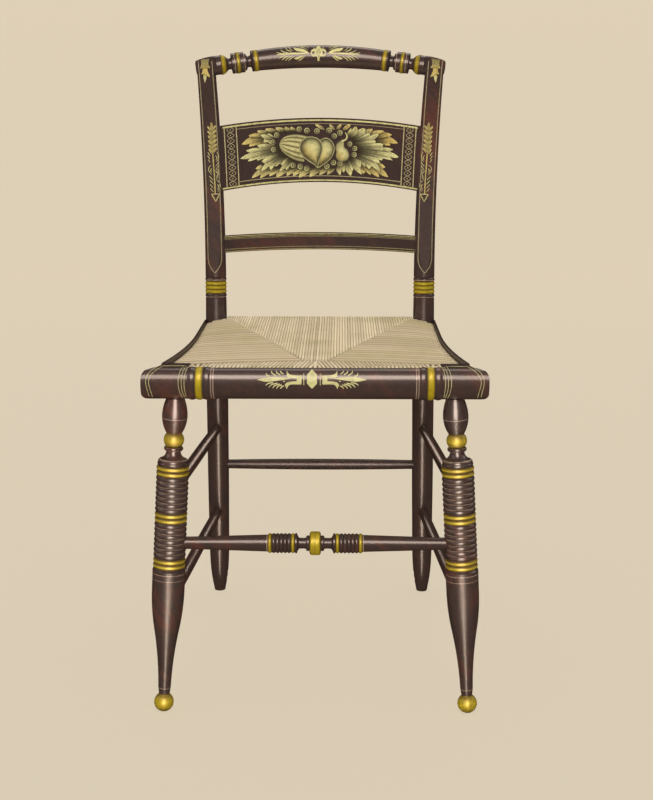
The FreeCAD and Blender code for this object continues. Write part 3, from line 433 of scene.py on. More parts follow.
front_fans = ((((276, 139), (277, 142)), 0.0, ((274.4, 137.4), (268.4, 133.4), (267.0, 134.8), (260.4, 134.8),
    (264.6, 138.8), (263.4, 142.4), (268.6, 141.4), (269.4, 143.6), (272.6, 143.4))), (((279, 145), (283,
    154)), 0.0, ((271.6, 144.8), (257.2, 145.2), (259.8, 148.0), (245.9, 150.7), (251.4, 152.8), (240.2,
    158.8), (250.2, 158.2), (248.0, 161.6), (256.8, 158.0), (258.0, 160.8), (262.2, 157.2), (264.6, 158.4),
    (270.4, 155.4))), (((281, 153), (290, 158)), 0.0, ((269.6, 155.6), (261.6, 161.6), (265.6, 163.4), (261.0,
    171.4), (269.4, 165.6), (270.6, 170.0), (274.0, 165.4), (276.6, 166.4), (278.8, 163.2), (281.8, 163.8),
    (284.0, 160.4))), (((289, 156), (294, 160)), 0.05, ((284.4, 159.8), (281.2, 165.4), (283.6, 165.2),
    (279.0, 171.6), (285.6, 167.8), (286.2, 170.2), (290.4, 164.4))), (((352, 143), (357, 154)), 0.0, ((369.0,
    140.8), (376.0, 141.0), (375.0, 143.4), (384.0, 144.4), (381.6, 147.6), (393.0, 149.4), (390.0, 152.0),
    (399.2, 157.4), (390.0, 157.2), (392.6, 160.4), (383.4, 157.6), (381.6, 160.4), (375.4, 156.6))), (((356,
    153), (350, 157)), 0.0, ((375.6, 156.8), (380.0, 162.8), (376.0, 163.0), (380.6, 171.4), (371.4, 165.2),
    (369.2, 169.0), (366.0, 163.8), (364.6, 166.4), (361.4, 160.8))), (((353, 156), (347, 159)), 0.0, ((361.2,
    160.6), (360.4, 167.6), (357.8, 165.4), (361.8, 174.6), (353.4, 167.8), (352.0, 171.4), (350.4, 166.2))),
    (((350, 158), (338, 163)), 0.15, ((352.8, 166.8), (350.6, 176.0), (345.0, 168.4), (343.8, 172.6), (341.2,
    167.8), (340.2, 175.2), (336.2, 169.2))), (((350, 138), (355, 144)), 0.0, ((357.2, 132.6), (361.4, 128.4),
    (361.2, 132.4), (365.4, 128.8), (365.0, 134.6), (369.6, 133.2), (369.8, 136.0), (378.8, 134.2), (372.6,
    140.6))), (((345, 137), (351, 139)), 0.1, ((347.6, 133.0), (351.4, 128.2), (351.2, 132.6), (354.6, 126.8),
    (354.4, 132.6), (357.6, 130.0), (357.0, 134.6))))
blades = ((324.7, 129.6, 314.9, 123.9, 1.9, 0.3), (334.6, 129.6, 329.3, 124.4, 1.8, 0.4), (336.7, 129.2,
    341.6, 124.1, 1.9, 0.5), (343.0, 130.0, 350.7, 124.3, 2.4, 0.6))
fruit_berries = ((276.7, 135.2, 2.9), (272.9, 142.4, 2.8), (273.6, 149.6, 2.8), (299.3, 129.4, 3.0), (307.0,
    130.8, 3.1), (316.9, 131.3, 3.1), (293.2, 165.3, 2.9), (300.3, 166.4, 3.0), (306.8, 168.2, 2.9), (329.0,
    130.6, 3.1), (334.2, 136.2, 2.9), (339.8, 133.0, 3.0), (349.7, 144.2, 2.7), (354.7, 148.5, 2.7), (354.1,
    154.7, 2.8), (326.8, 166.2, 3.0), (333.4, 162.6, 2.9), (339.8, 163.4, 2.9))
fruit_middle = (317.0, 150.0)
melon_top = ((279.4, 144.0), (281.2, 139.6), (285.6, 136.2), (291.8, 134.5), (299.0, 134.4), (308.0, 136.2))
melon_foot = ((279.4, 144.0), (280.4, 148.6), (284.0, 153.4), (289.6, 157.6), (296.4, 160.8), (304.0, 162.4))
melon_ribs = (0.0, 0.13, 0.3, 0.5, 0.7, 0.87, 1.0)
peach_middle = (312.4, 148.4)
peach_edge = ((312.4, 136.4), (318.8, 138.8), (322.6, 145.2), (322.6, 151.6), (320.6, 158.4), (318.6, 163.6),
    (317.6, 168.4), (314.4, 165.2), (308.6, 161.6), (303.0, 157.0), (299.6, 151.2), (299.4, 144.6), (302.8,
    139.4), (307.4, 136.8))
rear_peach_middle = (325.0, 150.0)
rear_peach_edge = ((318.6, 140.6), (325.4, 137.4), (331.4, 140.2), (334.7, 146.8), (333.8, 153.6), (330.2,
    159.6), (325.0, 164.0), (317.8, 168.4), (317.6, 160.0), (317.0, 150.0))
pear_middle = (341.6, 152.6)
pear_edge = ((349.6, 155.4), (347.6, 159.8), (342.9, 161.7), (338.0, 160.4), (335.8, 156.6), (336.0, 152.0),
    (335.2, 147.6), (337.0, 143.2), (340.6, 140.4), (343.6, 140.8), (344.0, 144.2), (344.5, 147.2), (347.6,
    150.0))
pear_stem = ((341.6, 141.4), (345.6, 139.6), (347.2, 136.6), (345.2, 132.4))


class PhotoPlane:
    """Drawing plane of the photograph: points are its pixels, and their rays leave the camera."""

    turn = np.array(camera.rotation_euler.to_matrix())

    def flat(self, points):
        """Pixel of a point in space: its distance beside the camera's axis x focal length / depth."""
        seen = (points - np.array(camera_place)) @ self.turn
        share = camera_focal_px / -seen[..., 2:]
        return np.array(photo_middle_px) + seen[..., :2] * (1, -1) * share

    def rays(self, flat):
        """Start and way of the rays through drawn points."""
        aside = (flat - np.array(photo_middle_px)) / camera_focal_px * (1, -1)
        way = np.concatenate([aside, np.full(aside.shape[:-1] + (1,), -1.0)], -1) @ self.turn.T
        return np.broadcast_to(np.array(camera_place), way.shape), way


photo_plane = PhotoPlane()
node_faces = {}


def faces_of(node, plane):
    """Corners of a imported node's faces, in space and on a drawing plane."""
    if (node, plane) not in node_faces:
        mesh = cad[node].data
        mesh.calc_loop_triangles()
        points = np.empty(3 * len(mesh.vertices))
        index = np.empty(3 * len(mesh.loop_triangles), int)
        mesh.vertices.foreach_get("co", points)
        mesh.loop_triangles.foreach_get("vertices", index)
        corners = points.reshape(-1, 3)[index].reshape(-1, 3, 3)
        node_faces[node, plane] = corners, plane.flat(corners)
    return node_faces[node, plane]


def meet(plane, flat, node):
    """Where the rays of drawn points first meet a node, and the normal there; nan where they miss it.
    A ray start + way t meets a face (a, b, c) at start + way t = a + (b - a) u + (c - a) v."""
    corners, drawn = faces_of(node, plane)
    near = (drawn.min(1) <= flat.max((0, 1))).all(1) & (drawn.max(1) >= flat.min((0, 1))).all(1)
    if not near.any():
        return (np.full(flat.shape[:2] + (3,), np.nan),) * 2
    start, way = (side.reshape(-1, 1, 3) for side in plane.rays(flat))
    a, b, c = np.moveaxis(corners[near], 1, 0)
    normal = np.cross(b - a, c - a)
    facing = -(way * normal).sum(-1)
    facing = np.where(facing > 0, facing, np.nan)
    reach = ((start - a) * normal).sum(-1) / facing
    turned = np.cross(start - a, way)
    u = ((c - a) * turned).sum(-1) / facing
    v = -((b - a) * turned).sum(-1) / facing
    met = (u > -1e-6) & (v > -1e-6) & (u + v < 1 + 1e-6) & (reach > 0)
    reach = np.where(met, reach, np.inf)
    first = reach.argmin(1)
    reach = reach[np.arange(len(first)), first][:, None]
    with np.errstate(invalid="ignore"):
        place = np.where(np.isfinite(reach), start[:, 0] + way[:, 0] * reach, np.nan)
    unit = (normal / np.linalg.norm(normal, axis=1)[:, None])[first]
    unit = np.where(np.isfinite(reach), unit, np.nan)
    return place.reshape(flat.shape[:2] + (3,)), unit.reshape(flat.shape[:2] + (3,))


def pairs(first, second):
    """Points (first, second), one to a row."""
    return np.stack(np.broadcast_arrays(first, second), 1)


def smooth(points, count):
    """Points evenly spaced on a curve through the given ones: between b and c, with neighbours a and d,
    it is the cubic that leaves b along c - a and reaches c along d - b, each halved."""
    points = np.asarray(points, float)
    padded = np.vstack([2 * points[0] - points[1], points, 2 * points[-1] - points[-2]])
    place = np.linspace(0, len(points) - 1, count)
    index = np.minimum(place.astype(int), len(points) - 2)
    t = (place - index)[:, None]
    a, b, c, d = (padded[index + step] for step in range(4))
    curve = 2 * b + (c - a) * t + (2 * a - 5 * b + 4 * c - d) * t**2 + (3 * b - a - 3 * c + d) * t**3
    return curve / 2


def spread(first, second, count):
    """Rows of points between two curves: first x (1 - share) + second x share, for even shares."""
    share = np.linspace(0, 1, count)[None, :, None]
    return first[:, None] * (1 - share) + second[:, None] * share


class Sheets:
    """Rectangular sheets of points, gathered into one mesh with a UV map and two painted attributes. A
    face with a missing corner, or with a side that jumps, is left out."""

    def __init__(self):
        self.points, self.uv, self.tone, self.warm, self.faces = [], [], [], [], []
        self.count = 0

    def add(self, points, tone, warm, uv=None):
        """points is (rows, columns, 3), uv is (rows, columns, 2), and tone and warm are numbers or
        (rows, columns). Each face joins a point to its neighbours in the next row and column."""
        rows, columns = points.shape[:2]
        index = self.count + np.arange(rows * columns).reshape(rows, columns)
        corners = [index[:-1, :-1], index[:-1, 1:], index[1:, 1:], index[1:, :-1]]
        self.faces.append(np.stack(corners, -1).reshape(-1, 4))
        self.points.append(points.reshape(-1, 3))
        self.uv.append((np.zeros((rows, columns, 2)) if uv is None else uv).reshape(-1, 2))
        self.tone.append(np.broadcast_to(tone, (rows, columns)).reshape(-1))
        self.warm.append(np.broadcast_to(warm, (rows, columns)).reshape(-1))
        self.count += rows * columns

    def build(self, name, material):
        """One object of all the sheets, with the points that no face uses dropped."""
        mesh = bpy.data.meshes.new(name)
        points, faces = np.concatenate(self.points), np.concatenate(self.faces)
        corners = points[faces]
        spread = np.ptp(np.where(np.isfinite(corners), corners, np.inf), axis=1).max(1)
        faces = faces[spread < sheet_jump]
        used, faces = np.unique(faces, return_inverse=True)
        faces = faces.reshape(-1, 4)
        mesh.from_pydata(points[used].tolist(), [], faces.tolist())
        uv = mesh.uv_layers.new(name="along")
        uv.data.foreach_set("uv", np.concatenate(self.uv)[used][faces.reshape(-1)].reshape(-1))
        for key, values in (("tone", self.tone), ("warm", self.warm)):
            attribute = mesh.attributes.new(key, "FLOAT", "POINT")
            attribute.data.foreach_set("value", np.concatenate(values)[used].astype(np.float32))
        mesh.shade_smooth()
        mesh.materials.append(material)
        return placed(name, mesh)


class Stencil:
    """Flat shapes; those drawn after a rise of the level lie over all the earlier ones."""

    def __init__(self):
        self.shapes = []
        self.level = 0

    def keep(self, flat, tone, warm):
        """Stores a sheet with its lift; tone and warm may be functions of the shares (t, v) of its sides."""
        t, v = np.meshgrid(*(np.linspace(0, 1, size) for size in flat.shape[:2]), indexing="ij")
        lift = stencil_lift + stencil_step * (self.level + len(self.shapes) % stencil_steps)
        tone, warm = (value(t, v) if callable(value) else value for value in (tone, warm))
        self.shapes.append((flat, lift, tone, warm))

    def between(self, first, second, tone=1.0, warm=0.0, columns=5):
        """Sheet spread between two curves with the same number of points."""
        self.keep(spread(first, second, columns), tone, warm)

    def stroke(self, points, width, tone=1.0, warm=0.0, ends=(1.0, 1.0), count=0):
        """Line along a smooth curve: half its width to each side, tapered to a share of it at either end."""
        line = smooth(points, count or 4 * len(points))
        along = np.gradient(line, axis=0)
        across = pairs(-along[:, 1], along[:, 0]) / np.linalg.norm(along, axis=1)[:, None]
        t = np.linspace(0, 1, len(line))
        swell = np.interp(t, (0, 0.35, 0.65, 1), (ends[0], 1, 1, ends[1]))[:, None] * width / 2
        self.between(line - across * swell, line + across * swell, tone, warm, 3)

    def leaf(self, base, tip, half_width, warm=0.0, dark=0.3, pale=1.0):
        """Blade with one tooth on each side. Its half width rises as a quarter sine over the first two
        fifths and falls in a straight line to the tip; the tooth swells to it, leans ahead and drops back."""
        base, tip = np.asarray(base, float), np.asarray(tip, float)
        run = tip - base
        square = np.array([-run[1], run[0]])
        tooth = (0.0, 0.35, 0.7, 0.999)
        t = np.append(tooth, 1.0)[:, None] ** 1.15
        saw = np.append(tooth, 0.0)[:, None]
        rib = base + run * t
        swell = (0.35 + 0.65 * np.sin(np.clip(t / 0.4, 0, 1) * math.pi / 2)) * np.clip((1 - t) / 0.55, 0, 1)
        width = 1.25 * half_width * swell * (0.46 + 0.54 * saw)
        across = square / np.linalg.norm(square)
        ahead = run * leaf_tooth_lean * saw**2 * swell
        left, right = rib + ahead - width * across, rib + ahead + width * across
        flat = np.concatenate([spread(left, rib, 4), spread(rib, right, 4)[:, 1:]], axis=1)

        def tone(along, v):
            ribbed = np.where((np.abs(v - 0.5) < 0.06) & (t < 0.8), 0.35, 1.0)
            fade = np.clip((t - 0.12) / 0.5, 0, 1) + 0.5 * np.abs(2 * v - 1) - 0.1
            fade = np.clip(fade, 0, 1)
            fade = fade * fade * (3 - 2 * fade)
            return pale * (dark + (1 - dark) * fade) * ribbed * np.where(v > 0.5, 0.76, 1.0)

        self.keep(flat, tone, warm)

    def fan(self, base, edge, warm=0.0, grown=0.0, pale=1.0):
        """Spray of leaf teeth. Its edge goes from notch to tip to notch, each side of a tooth bowed out by a
        share of its length, and straight lines join it to the base. Tone = share of the way out, darker
        on the lines from the notches and in two strokes beside each tip. grown pushes the edge out from
        the base's middle."""
        base, edge = np.asarray(base, float), np.asarray(edge, float)
        out = edge - base.mean(0)
        edge = edge + grown * out / np.linalg.norm(out, axis=1)[:, None]
        leg = np.diff(edge, axis=0)
        chord = edge[-1] - edge[0]
        turn = np.sign(chord[0] * out[0, 1] - chord[1] * out[0, 0])
        t = np.linspace(0, 1, fan_steps, endpoint=False)
        square = pairs(-leg[:, 1], leg[:, 0]) * turn * fan_bow
        line = edge[:-1, None] + leg[:, None] * t[:, None] + square[:, None] * (4 * t * (1 - t))[:, None]
        line = np.vstack([line.reshape(-1, 2), edge[-1:]])

        def tone(along, v):
            place = along * len(leg) / 2 % 1
            tip = 1 - np.abs(2 * place - 1)
            fade = np.clip((0.95 - v) / 0.62, 0, 1) ** 1.6
            notch = 1 - 0.92 * (1 - tip) ** 2.2 * np.clip(v / 0.1, 0, 1)
            stroke = 1 - 0.75 * np.clip((v - 0.08) / 0.4, 0, 1) * (0.5 - 0.5 * np.cos(4 * math.pi * tip))
            return pale * fade * notch * stroke * np.where(place > 0.5, 0.84, 1.0)

        self.between(line, smooth(base, len(line)), tone, warm, 11)

    def body(self, middle, outline, tone, warm=0.0, rings=12, turns=44):
        """Body inside a closed outline, middle x (1 - share) + outline x share; tone and warm are
        functions of (turn, share)."""
        edge = smooth(np.vstack([outline, outline[:1]]), turns)
        flat = spread(np.array([middle], float), edge, rings)
        offset = flat - middle
        angle = np.arctan2(offset[..., 1], offset[..., 0])
        angle[:, 0] = angle[:, 1]
        radius = np.broadcast_to(np.linspace(0, 1, rings), angle.shape)
        tone, warm = (value(angle, radius) if callable(value) else value for value in (tone, warm))
        self.keep(flat, tone, warm)

    def berry(self, place, radius, away):
        """Round body with a pale heart, a dark ring and a rim that is brightest at the turn away."""
        turns = np.linspace(0, 2 * math.pi, 13)[:-1]
        outline = np.array(place) + radius * pairs(np.cos(turns), np.sin(turns))
        stops, tones = (0, 0.22, 0.38, 0.52, 0.7, 0.92, 1), (0.7, 0.62, 0.1, 0.05, 0.75, 0.8, 0.1)

        def tone(angle, share):
            lit = 0.5 + 0.5 * np.cos(angle - away)
            return np.interp(share, stops, tones) * np.where(share > 0.45, 0.25 + 0.75 * lit, 1.1 - 0.5 * lit)

        self.body(place, outline, tone, 0.0, 8, 17)

    def lay(self, sheets, plane, node, mirror=False):
        """Lays the shapes on a node; mirror lays them on the other side of the chair too."""
        for flat, lift, tone, warm in self.shapes:
            blocks = np.array_split(flat, range(stencil_rows_at_once, len(flat), stencil_rows_at_once))
            met = [meet(plane, block, node) for block in blocks]
            points = np.concatenate([place + normal * lift for place, normal in met])
            sheets.add(points, tone, warm)
            if mirror:
                sheets.add(points * (-1, 1, 1), tone, warm)


def bronze_powder(name):
    """Olive ground under powder that runs from rose through pale to orange with the warmth; the powder's
    share is the tone, roughened by fine grain."""
    shader = Shader(name)
    tone, warm = shader.attribute("tone"), shader.attribute("warm")
    grain = shader.noise(shader.place, 900.0, 2.0, 0.6)
    worn = shader.noise(shader.place, 130.0, 3.0, 0.6)
    bright = shader.math("ADD", tone, shader.math("MULTIPLY_ADD", grain, 0.24, -0.12), clamp=True)
    powder = shader.mix(shader.math("ADD", warm, 0.0, clamp=True), stencil_pale, stencil_orange)
    powder = shader.mix(shader.math("MULTIPLY", warm, -1.0, clamp=True), powder, stencil_rose)
    powder = shader.mix(shader.ramp(worn, [(0.3, 0.35), (0.55, 0.0)]), powder, stencil_olive)
    colour = shader.mix(bright, stencil_olive, powder)
    shader.finish(Base_Color=colour, Roughness=0.42, Specular_IOR_Level=0.3)
    shader.bump(grain, 0.0001, 0.3)
    return shader.material


powder = bronze_powder("bronze_stencil")


def put_on(name, *layers):
    """Lays each (stencil, plane, node, mirrored) and ties the piece that they make to the chair."""
    sheets = Sheets()
    for stencil, plane, node, mirrored in layers:
        stencil.lay(sheets, plane, node, mirrored)
    piece = sheets.build(name, powder)
    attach(piece, "root")


def fruit_tone(angle, share):
    """Thin pale rim, a dark line inside it, then a body that darkens outwards."""
    stops = (0, 0.3, 0.52, 0.68, 0.82, 0.9, 0.95, 0.985, 1)
    tones = (1, 0.94, 0.72, 0.4, 0.12, 0.06, 0.8, 0.8, 0.1)
    return np.interp(share, stops, tones) * (0.95 + 0.1 * np.cos(angle) * share)


def fruit_warmth(angle, share):
    """Warmer outwards and to the lower right, and 0 on the rim."""
    return np.where(share < 0.84, np.clip(0.75 * share * np.sin(angle - 0.7) + 0.16, 0, 0.7), 0.0)


def pear_tone(angle, share):
    """Pale to near the edge, then dark, and a little brighter at the lower right."""
    tone = np.interp(share, (0, 0.45, 0.85, 1), (1, 0.95, 0.5, 0.1))
    return tone * (0.9 + 0.12 * np.cos(angle - 0.6) * share)


def melon_tone(t, v):
    """Pale swells between dark ribs that run together at the stem end."""
    nearest = np.min([np.abs(v - rib) for rib in melon_ribs], axis=0)
    rib = np.interp(nearest, (0, 0.014, 0.05, 0.1), (0.05, 0.25, 0.8, 1.0))
    along = np.interp(t, (0, 0.12, 1), (0.5, 1, 0.9))
    round_it = np.interp(v, (0, 0.3, 0.75, 1), (0.85, 1, 0.95, 0.6))
    return rib * along * round_it


def draw_fruit():
    """Blades, then the fans behind, each fan in front over its own shadow, the melon, the peach behind,
    and on top the other fruit and the berries, which are lit on the side away from the middle."""
    fruit = Stencil()
    for *line, half_width, warm in blades:
        fruit.leaf(line[:2], line[2:], half_width, warm)
    for level, fans in enumerate((back_fans, front_fans)):
        fruit.level = level * stencil_steps
        for base, warm, edge in fans:
            if level:
                fruit.fan(base, edge, 0.0, fan_shadow, shadow_tone)
            fruit.fan(base, edge, warm)
    fruit.level = 2 * stencil_steps
    fruit.between(smooth(melon_top, 20), smooth(melon_foot, 20), melon_tone, 0.12, 49)
    fruit.level = 3 * stencil_steps
    fruit.body(rear_peach_middle, rear_peach_edge, fruit_tone, fruit_warmth, 18, 48)
    fruit.level = 4 * stencil_steps
    fruit.body(peach_middle, peach_edge, fruit_tone, fruit_warmth, 22, 56)
    fruit.body(pear_middle, pear_edge, pear_tone, fruit_warmth, 12, 48)
    fruit.stroke(pear_stem, 1.5, 0.85, 0.1, (1.3, 0.4), 16)
    for x, y, radius in fruit_berries:
        fruit.berry((x, y), radius, math.atan2(y - fruit_middle[1], x - fruit_middle[0]))
    return fruit


put_on("slat_fruit_stencil", (draw_fruit(), photo_plane, "stenciled_slat", False))

# Borders of the two slats: pale bands along the bent edges, thin lines inside them, and at each end a
# strip of crossed links between two upright lines. They are brushed, and follow the solid's edges.
post_sweep_start = 0.524
post_sweep_share = 0.09101 / 0.6196
post_foot_x = 0.158
slat_reach = 0.1465
slat_middle_height = 0.7
slat_edge_points = 117
face_normal_y = -0.9
edge_search = 0.002
halvings = 16
# A band is its two distances inside the edge, tone, warmth, columns and reach to each side
slat_top_bands = ((0.0024, 0.0047, 0.92, 0.05, 4, 1.0), (0.0081, 0.0091, 0.55, -0.7, 3, 0.1265))
slat_foot_bands = ((0.0008, 0.0029, 0.85, 0.05, 4, 1.0), (0.0078, 0.0088, 0.7, -0.4, 3, 0.1215))
low_slat_top_bands = ((0.0016, 0.0026, 0.62, 0.15, 3, 1.0), (0.0038, 0.0046, 0.5, 0.15, 3, 1.0),
                      (0.0058, 0.0065, 0.32, 0.15, 3, 1.0))
low_slat_foot_bands = ((0.0010, 0.0018, 0.6, 0.15, 3, 1.0), (0.0044, 0.0052, 0.42, 0.15, 3, 1.0))
upright_lines = (0.0208, 0.0386)
slat_line_width = 0.0014
link_middle = 0.0297
link_half_width = 0.0050
link_pitch = 0.0083
link_line_width = 0.0009
link_dot_half = 0.0009
link_dot_width = 0.0017


class FrontPlane:
    """Upright drawing plane before the chair: points are (x, z), and their rays run level to the back."""

    def flat(self, points):
        """A point in space without its distance back."""
        return points[..., (0, 2)]

    def rays(self, flat):
        """Start and way of the rays through drawn points."""
        start = np.insert(flat, 1, -1.0, axis=-1)
        return start, np.broadcast_to(np.array((0.0, 1.0, 0.0)), start.shape)


front_plane = FrontPlane()


def post_x(height):
    """Half distance between the rear posts' middles: it grows with the square of the height above a start."""
    return post_foot_x + post_sweep_share * np.maximum(height - post_sweep_start, 0) ** 2


def slat_edges(node):
    """Top and foot edges of a slat's front face as points (x, z), found by halving the step again and
    again between a height on the face and one past it."""
    floor, roof = (corner[2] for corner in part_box(node))
    x = np.linspace(-slat_reach, slat_reach, slat_edge_points)

    def on_face(height):
        return meet(front_plane, pairs(x, height)[None], node)[1][0, :, 1] < face_normal_y

    middle = np.full(slat_edge_points, (floor + roof) / 2)
    middle = np.where(on_face(middle), middle, middle - 0.1 * (roof - floor))
    edges = []
    for beyond in (roof + edge_search, floor - edge_search):
        inside, outside = middle, np.full(slat_edge_points, beyond)
        for _ in range(halvings):
            half = (inside + outside) / 2
            met = on_face(half)
            inside, outside = np.where(met, half, inside), np.where(met, outside, half)
        edges.append(pairs(x, inside))
    return edges


def draw_bands(stencil, edge, inward, bands):
    """Bands at distances inside an edge; inward is -1 below the top edge and 1 above the foot edge."""
    for near, far, tone, warm, columns, reach in bands:
        rows = edge[np.abs(edge[:, 0]) < reach]
        upper, lower = sorted((inward * near, inward * far), reverse=True)
        stencil.between(rows + (0.0, upper), rows + (0.0, lower), tone, warm, columns)


def beside_post(offset, heights, sign, aside=0.0):
    """Points at an offset inside a post's middle line, moved aside by further amounts."""
    return pairs(sign * (post_x(heights) - offset + aside), heights)


def draw_borders():
    """Bands, then on each side two upright lines and between them two sine waves of opposite swing, which
    cross once in each link, with a dot in every link."""
    border = Stencil()
    top, foot = slat_edges("stenciled_slat")
    for top_band, foot_band in zip(slat_top_bands, slat_foot_bands):
        draw_bands(border, top, -1, [top_band])
        draw_bands(border, foot, 1, [foot_band])

    def span(offset, top_gap, foot_gap):
        """Heights of a line at an offset, between gaps inside the foot and the top edge."""
        x = post_x(slat_middle_height) - offset
        return np.interp(x, foot[:, 0], foot[:, 1]) + foot_gap, np.interp(x, top[:, 0], top[:, 1]) - top_gap

    for sign in (-1, 1):
        for offset in upright_lines:
            heights = np.linspace(*span(offset, slat_top_bands[0][0], slat_foot_bands[0][0]), 12)
            border.stroke(beside_post(offset, heights, sign), slat_line_width, 0.82, -0.4)
        ground, ceiling = span(link_middle, slat_top_bands[0][1], slat_foot_bands[0][1])
        links = round((ceiling - ground) / link_pitch)
        heights = np.linspace(ground, ceiling, 10 * links + 1)
        swing = link_half_width * np.sin(np.linspace(0, links * math.pi, len(heights)))
        for way in (-1, 1):
            rows = beside_post(link_middle, heights, sign, way * swing)
            border.stroke(rows, link_line_width, 0.66, -0.5, (1, 1), len(rows))
        for link in range(links):
            z = ground + (ceiling - ground) * (link + 0.5) / links
            x = sign * (post_x(z) - link_middle)
            dot = [(x, z - link_dot_half), (x, z), (x, z + link_dot_half)]
            border.stroke(dot, link_dot_width, 0.5)
    return border


def draw_low_lines():
    """Thin lines inside both edges of the lower slat."""
    lines = Stencil()
    top, foot = slat_edges("lower_slat")
    draw_bands(lines, top, -1, low_slat_top_bands)
    draw_bands(lines, foot, 1, low_slat_foot_bands)
    return lines


put_on("slat_border_lines", (draw_borders(), front_plane, "stenciled_slat", False),
       (draw_low_lines(), front_plane, "lower_slat", False))

# Lines and wheat on the rear posts: a brushed line along each edge of the shaved front, the two meeting
# in an arch above the rings, a hanging leaf on the head, and a stenciled wheat ear on a barbed stem.
post_line_offset = 0.0102
post_line_width = 0.0012
post_arch_foot = 0.5312
post_arch_top = 0.556
post_line_top = 0.842
post_line_start = 0.562
arch_roundness = 2.5
grain_drop = 6.2
# Ear, stem and leaf of the left post in pixels of the photograph; a row is two grains' tips
ear_tip_row = (211.3, 122.6)
ear_rows = ((207.3, 126.0, 215.7, 125.2), (207.5, 130.7, 216.1, 129.6), (208.0, 135.3, 216.4, 134.3), (208.2,
    139.9, 216.7, 138.8), (208.5, 144.6, 216.9, 143.4), (208.7, 148.6, 217.2, 147.4))
ear_middle = ((211.5, 124.0), (212.1, 134.0), (212.5, 144.0), (212.8, 154.4))
ear_stem = ((212.8, 153.6), (213.7, 166.5), (214.7, 180.0), (215.3, 194.6))
barb = ((211.7, 194.2), (215.8, 201.6), (219.6, 193.9))
tendrils = (((216.8, 152.2), (218.3, 154.6), (218.4, 158.2), (216.5, 161.9)), ((215.5, 155.6), (216.9, 157.6),
    (215.9, 160.2)), ((218.3, 162.6), (215.7, 166.4)), ((218.9, 165.2), (216.1, 169.2)), ((216.7, 168.6),
    (218.3, 170.6), (217.3, 173.0), (215.9, 171.0), (216.7, 168.6)), ((218.7, 173.0), (216.5, 177.0)),
    ((217.9, 176.4), (216.2, 179.6)), ((216.9, 180.2), (219.5, 182.6), (220.2, 186.4), (217.7, 191.6)),
    ((217.3, 184.0), (218.6, 186.6), (217.3, 189.4)), ((207.7, 152.4), (210.1, 156.0)), ((207.5, 155.6),
    (209.9, 159.2)), ((208.2, 159.4), (210.1, 162.6)), ((211.3, 165.2), (208.9, 167.4), (208.9, 170.8),
    (211.9, 174.9)), ((211.7, 168.4), (210.7, 170.4), (211.9, 172.6)), ((209.3, 176.2), (213.2, 180.2)),
    ((209.9, 180.2), (213.5, 184.2)), ((210.1, 184.2), (213.3, 188.2)), ((210.5, 188.4), (213.5, 192.0)))
head_leaf_left = ((200.7, 59.8), (201.4, 64.0), (200.3, 68.6), (202.7, 68.0), (202.5, 71.2), (201.5, 74.4),
    (203.5, 73.6), (203.5, 78.0), (204.7, 82.6))
head_leaf_right = ((209.1, 58.6), (208.3, 64.0), (210.1, 68.2), (207.5, 67.4), (207.9, 71.6), (210.0, 77.0),
    (206.9, 75.8), (206.3, 79.0), (204.9, 82.8))


def draw_post():
    """Line at a constant offset from the post's middle line; below the arch's top the offset shrinks as
    1 - (1 - share)^roundness of the way up the arch."""
    lines = Stencil()
    arch = np.linspace(post_arch_foot, post_arch_top, 14)
    heights = np.concatenate([arch, np.linspace(post_line_start, post_line_top, 60)])
    share = np.minimum((heights - post_arch_foot) / (post_arch_top - post_arch_foot), 1)
    for side in (-1, 1):
        offset = side * post_line_offset * (1 - (1 - share) ** arch_roundness)
        rows = pairs(-post_x(heights) + offset, heights)
        lines.stroke(rows, post_line_width, 0.6, -0.6, (1, 1), len(rows))
    return lines


def head_leaf_tone(t, v):
    """Dark where the leaf hangs from, bright down its middle, pale again at the tips of its sides."""
    tone = np.interp(t, (0, 0.12, 0.35, 0.8, 1), (0.3, 0.55, 0.85, 1.0, 0.8))
    return tone * (1 - 0.12 * np.sin(2 * math.pi * v) ** 2)


def head_leaf_warmth(t, v):
    """Warmest halfway down the leaf, as a half sine."""
    return 0.75 * np.sin(math.pi * np.clip(t + 0.1, 0, 1))


def draw_ear():
    """Grains in pairs, each from a point of the ear's middle line a drop below its tip, then the stem,
    the barb at its foot, the tendrils beside it, and the leaf on the post's head."""
    ear = Stencil()
    ear.leaf(ear_middle[0], ear_tip_row, 1.2, 0.5, 0.6, 0.9)
    ear.stroke(ear_middle, 4.4, 0.5, 0.55, (0.5, 0.25), 24)
    middle = smooth(ear_middle, 60)
    for row in ear_rows:
        for tip in (row[:2], row[2:]):
            root = middle[np.argmin(abs(middle[:, 1] - tip[1] - grain_drop))]
            ear.leaf(root, tip, 1.4, 0.5, 0.3, 0.86)
    ear.stroke(ear_stem, 1.15, 0.75, 0.5)
    left, foot, right = barb
    for line, width, ends in (((left, right), 0.9, (0.8, 0.8)), ((left, foot), 1.0, (0.9, 0.6)),
                              ((right, foot), 1.0, (0.9, 0.6))):
        ear.stroke(line, width, 0.7, 0.2, ends, 8)
    for points in tendrils:
        ear.stroke(points, 0.85, 0.62, 0.1, (0.7, 0.5), 5 * len(points))
    ear.between(smooth(head_leaf_left, 33), smooth(head_leaf_right, 33), head_leaf_tone, head_leaf_warmth, 9)
    return ear


put_on("post_wheat_and_lines", (draw_post(), front_plane, "back_post_left", True),
       (draw_ear(), photo_plane, "back_post_left", True))

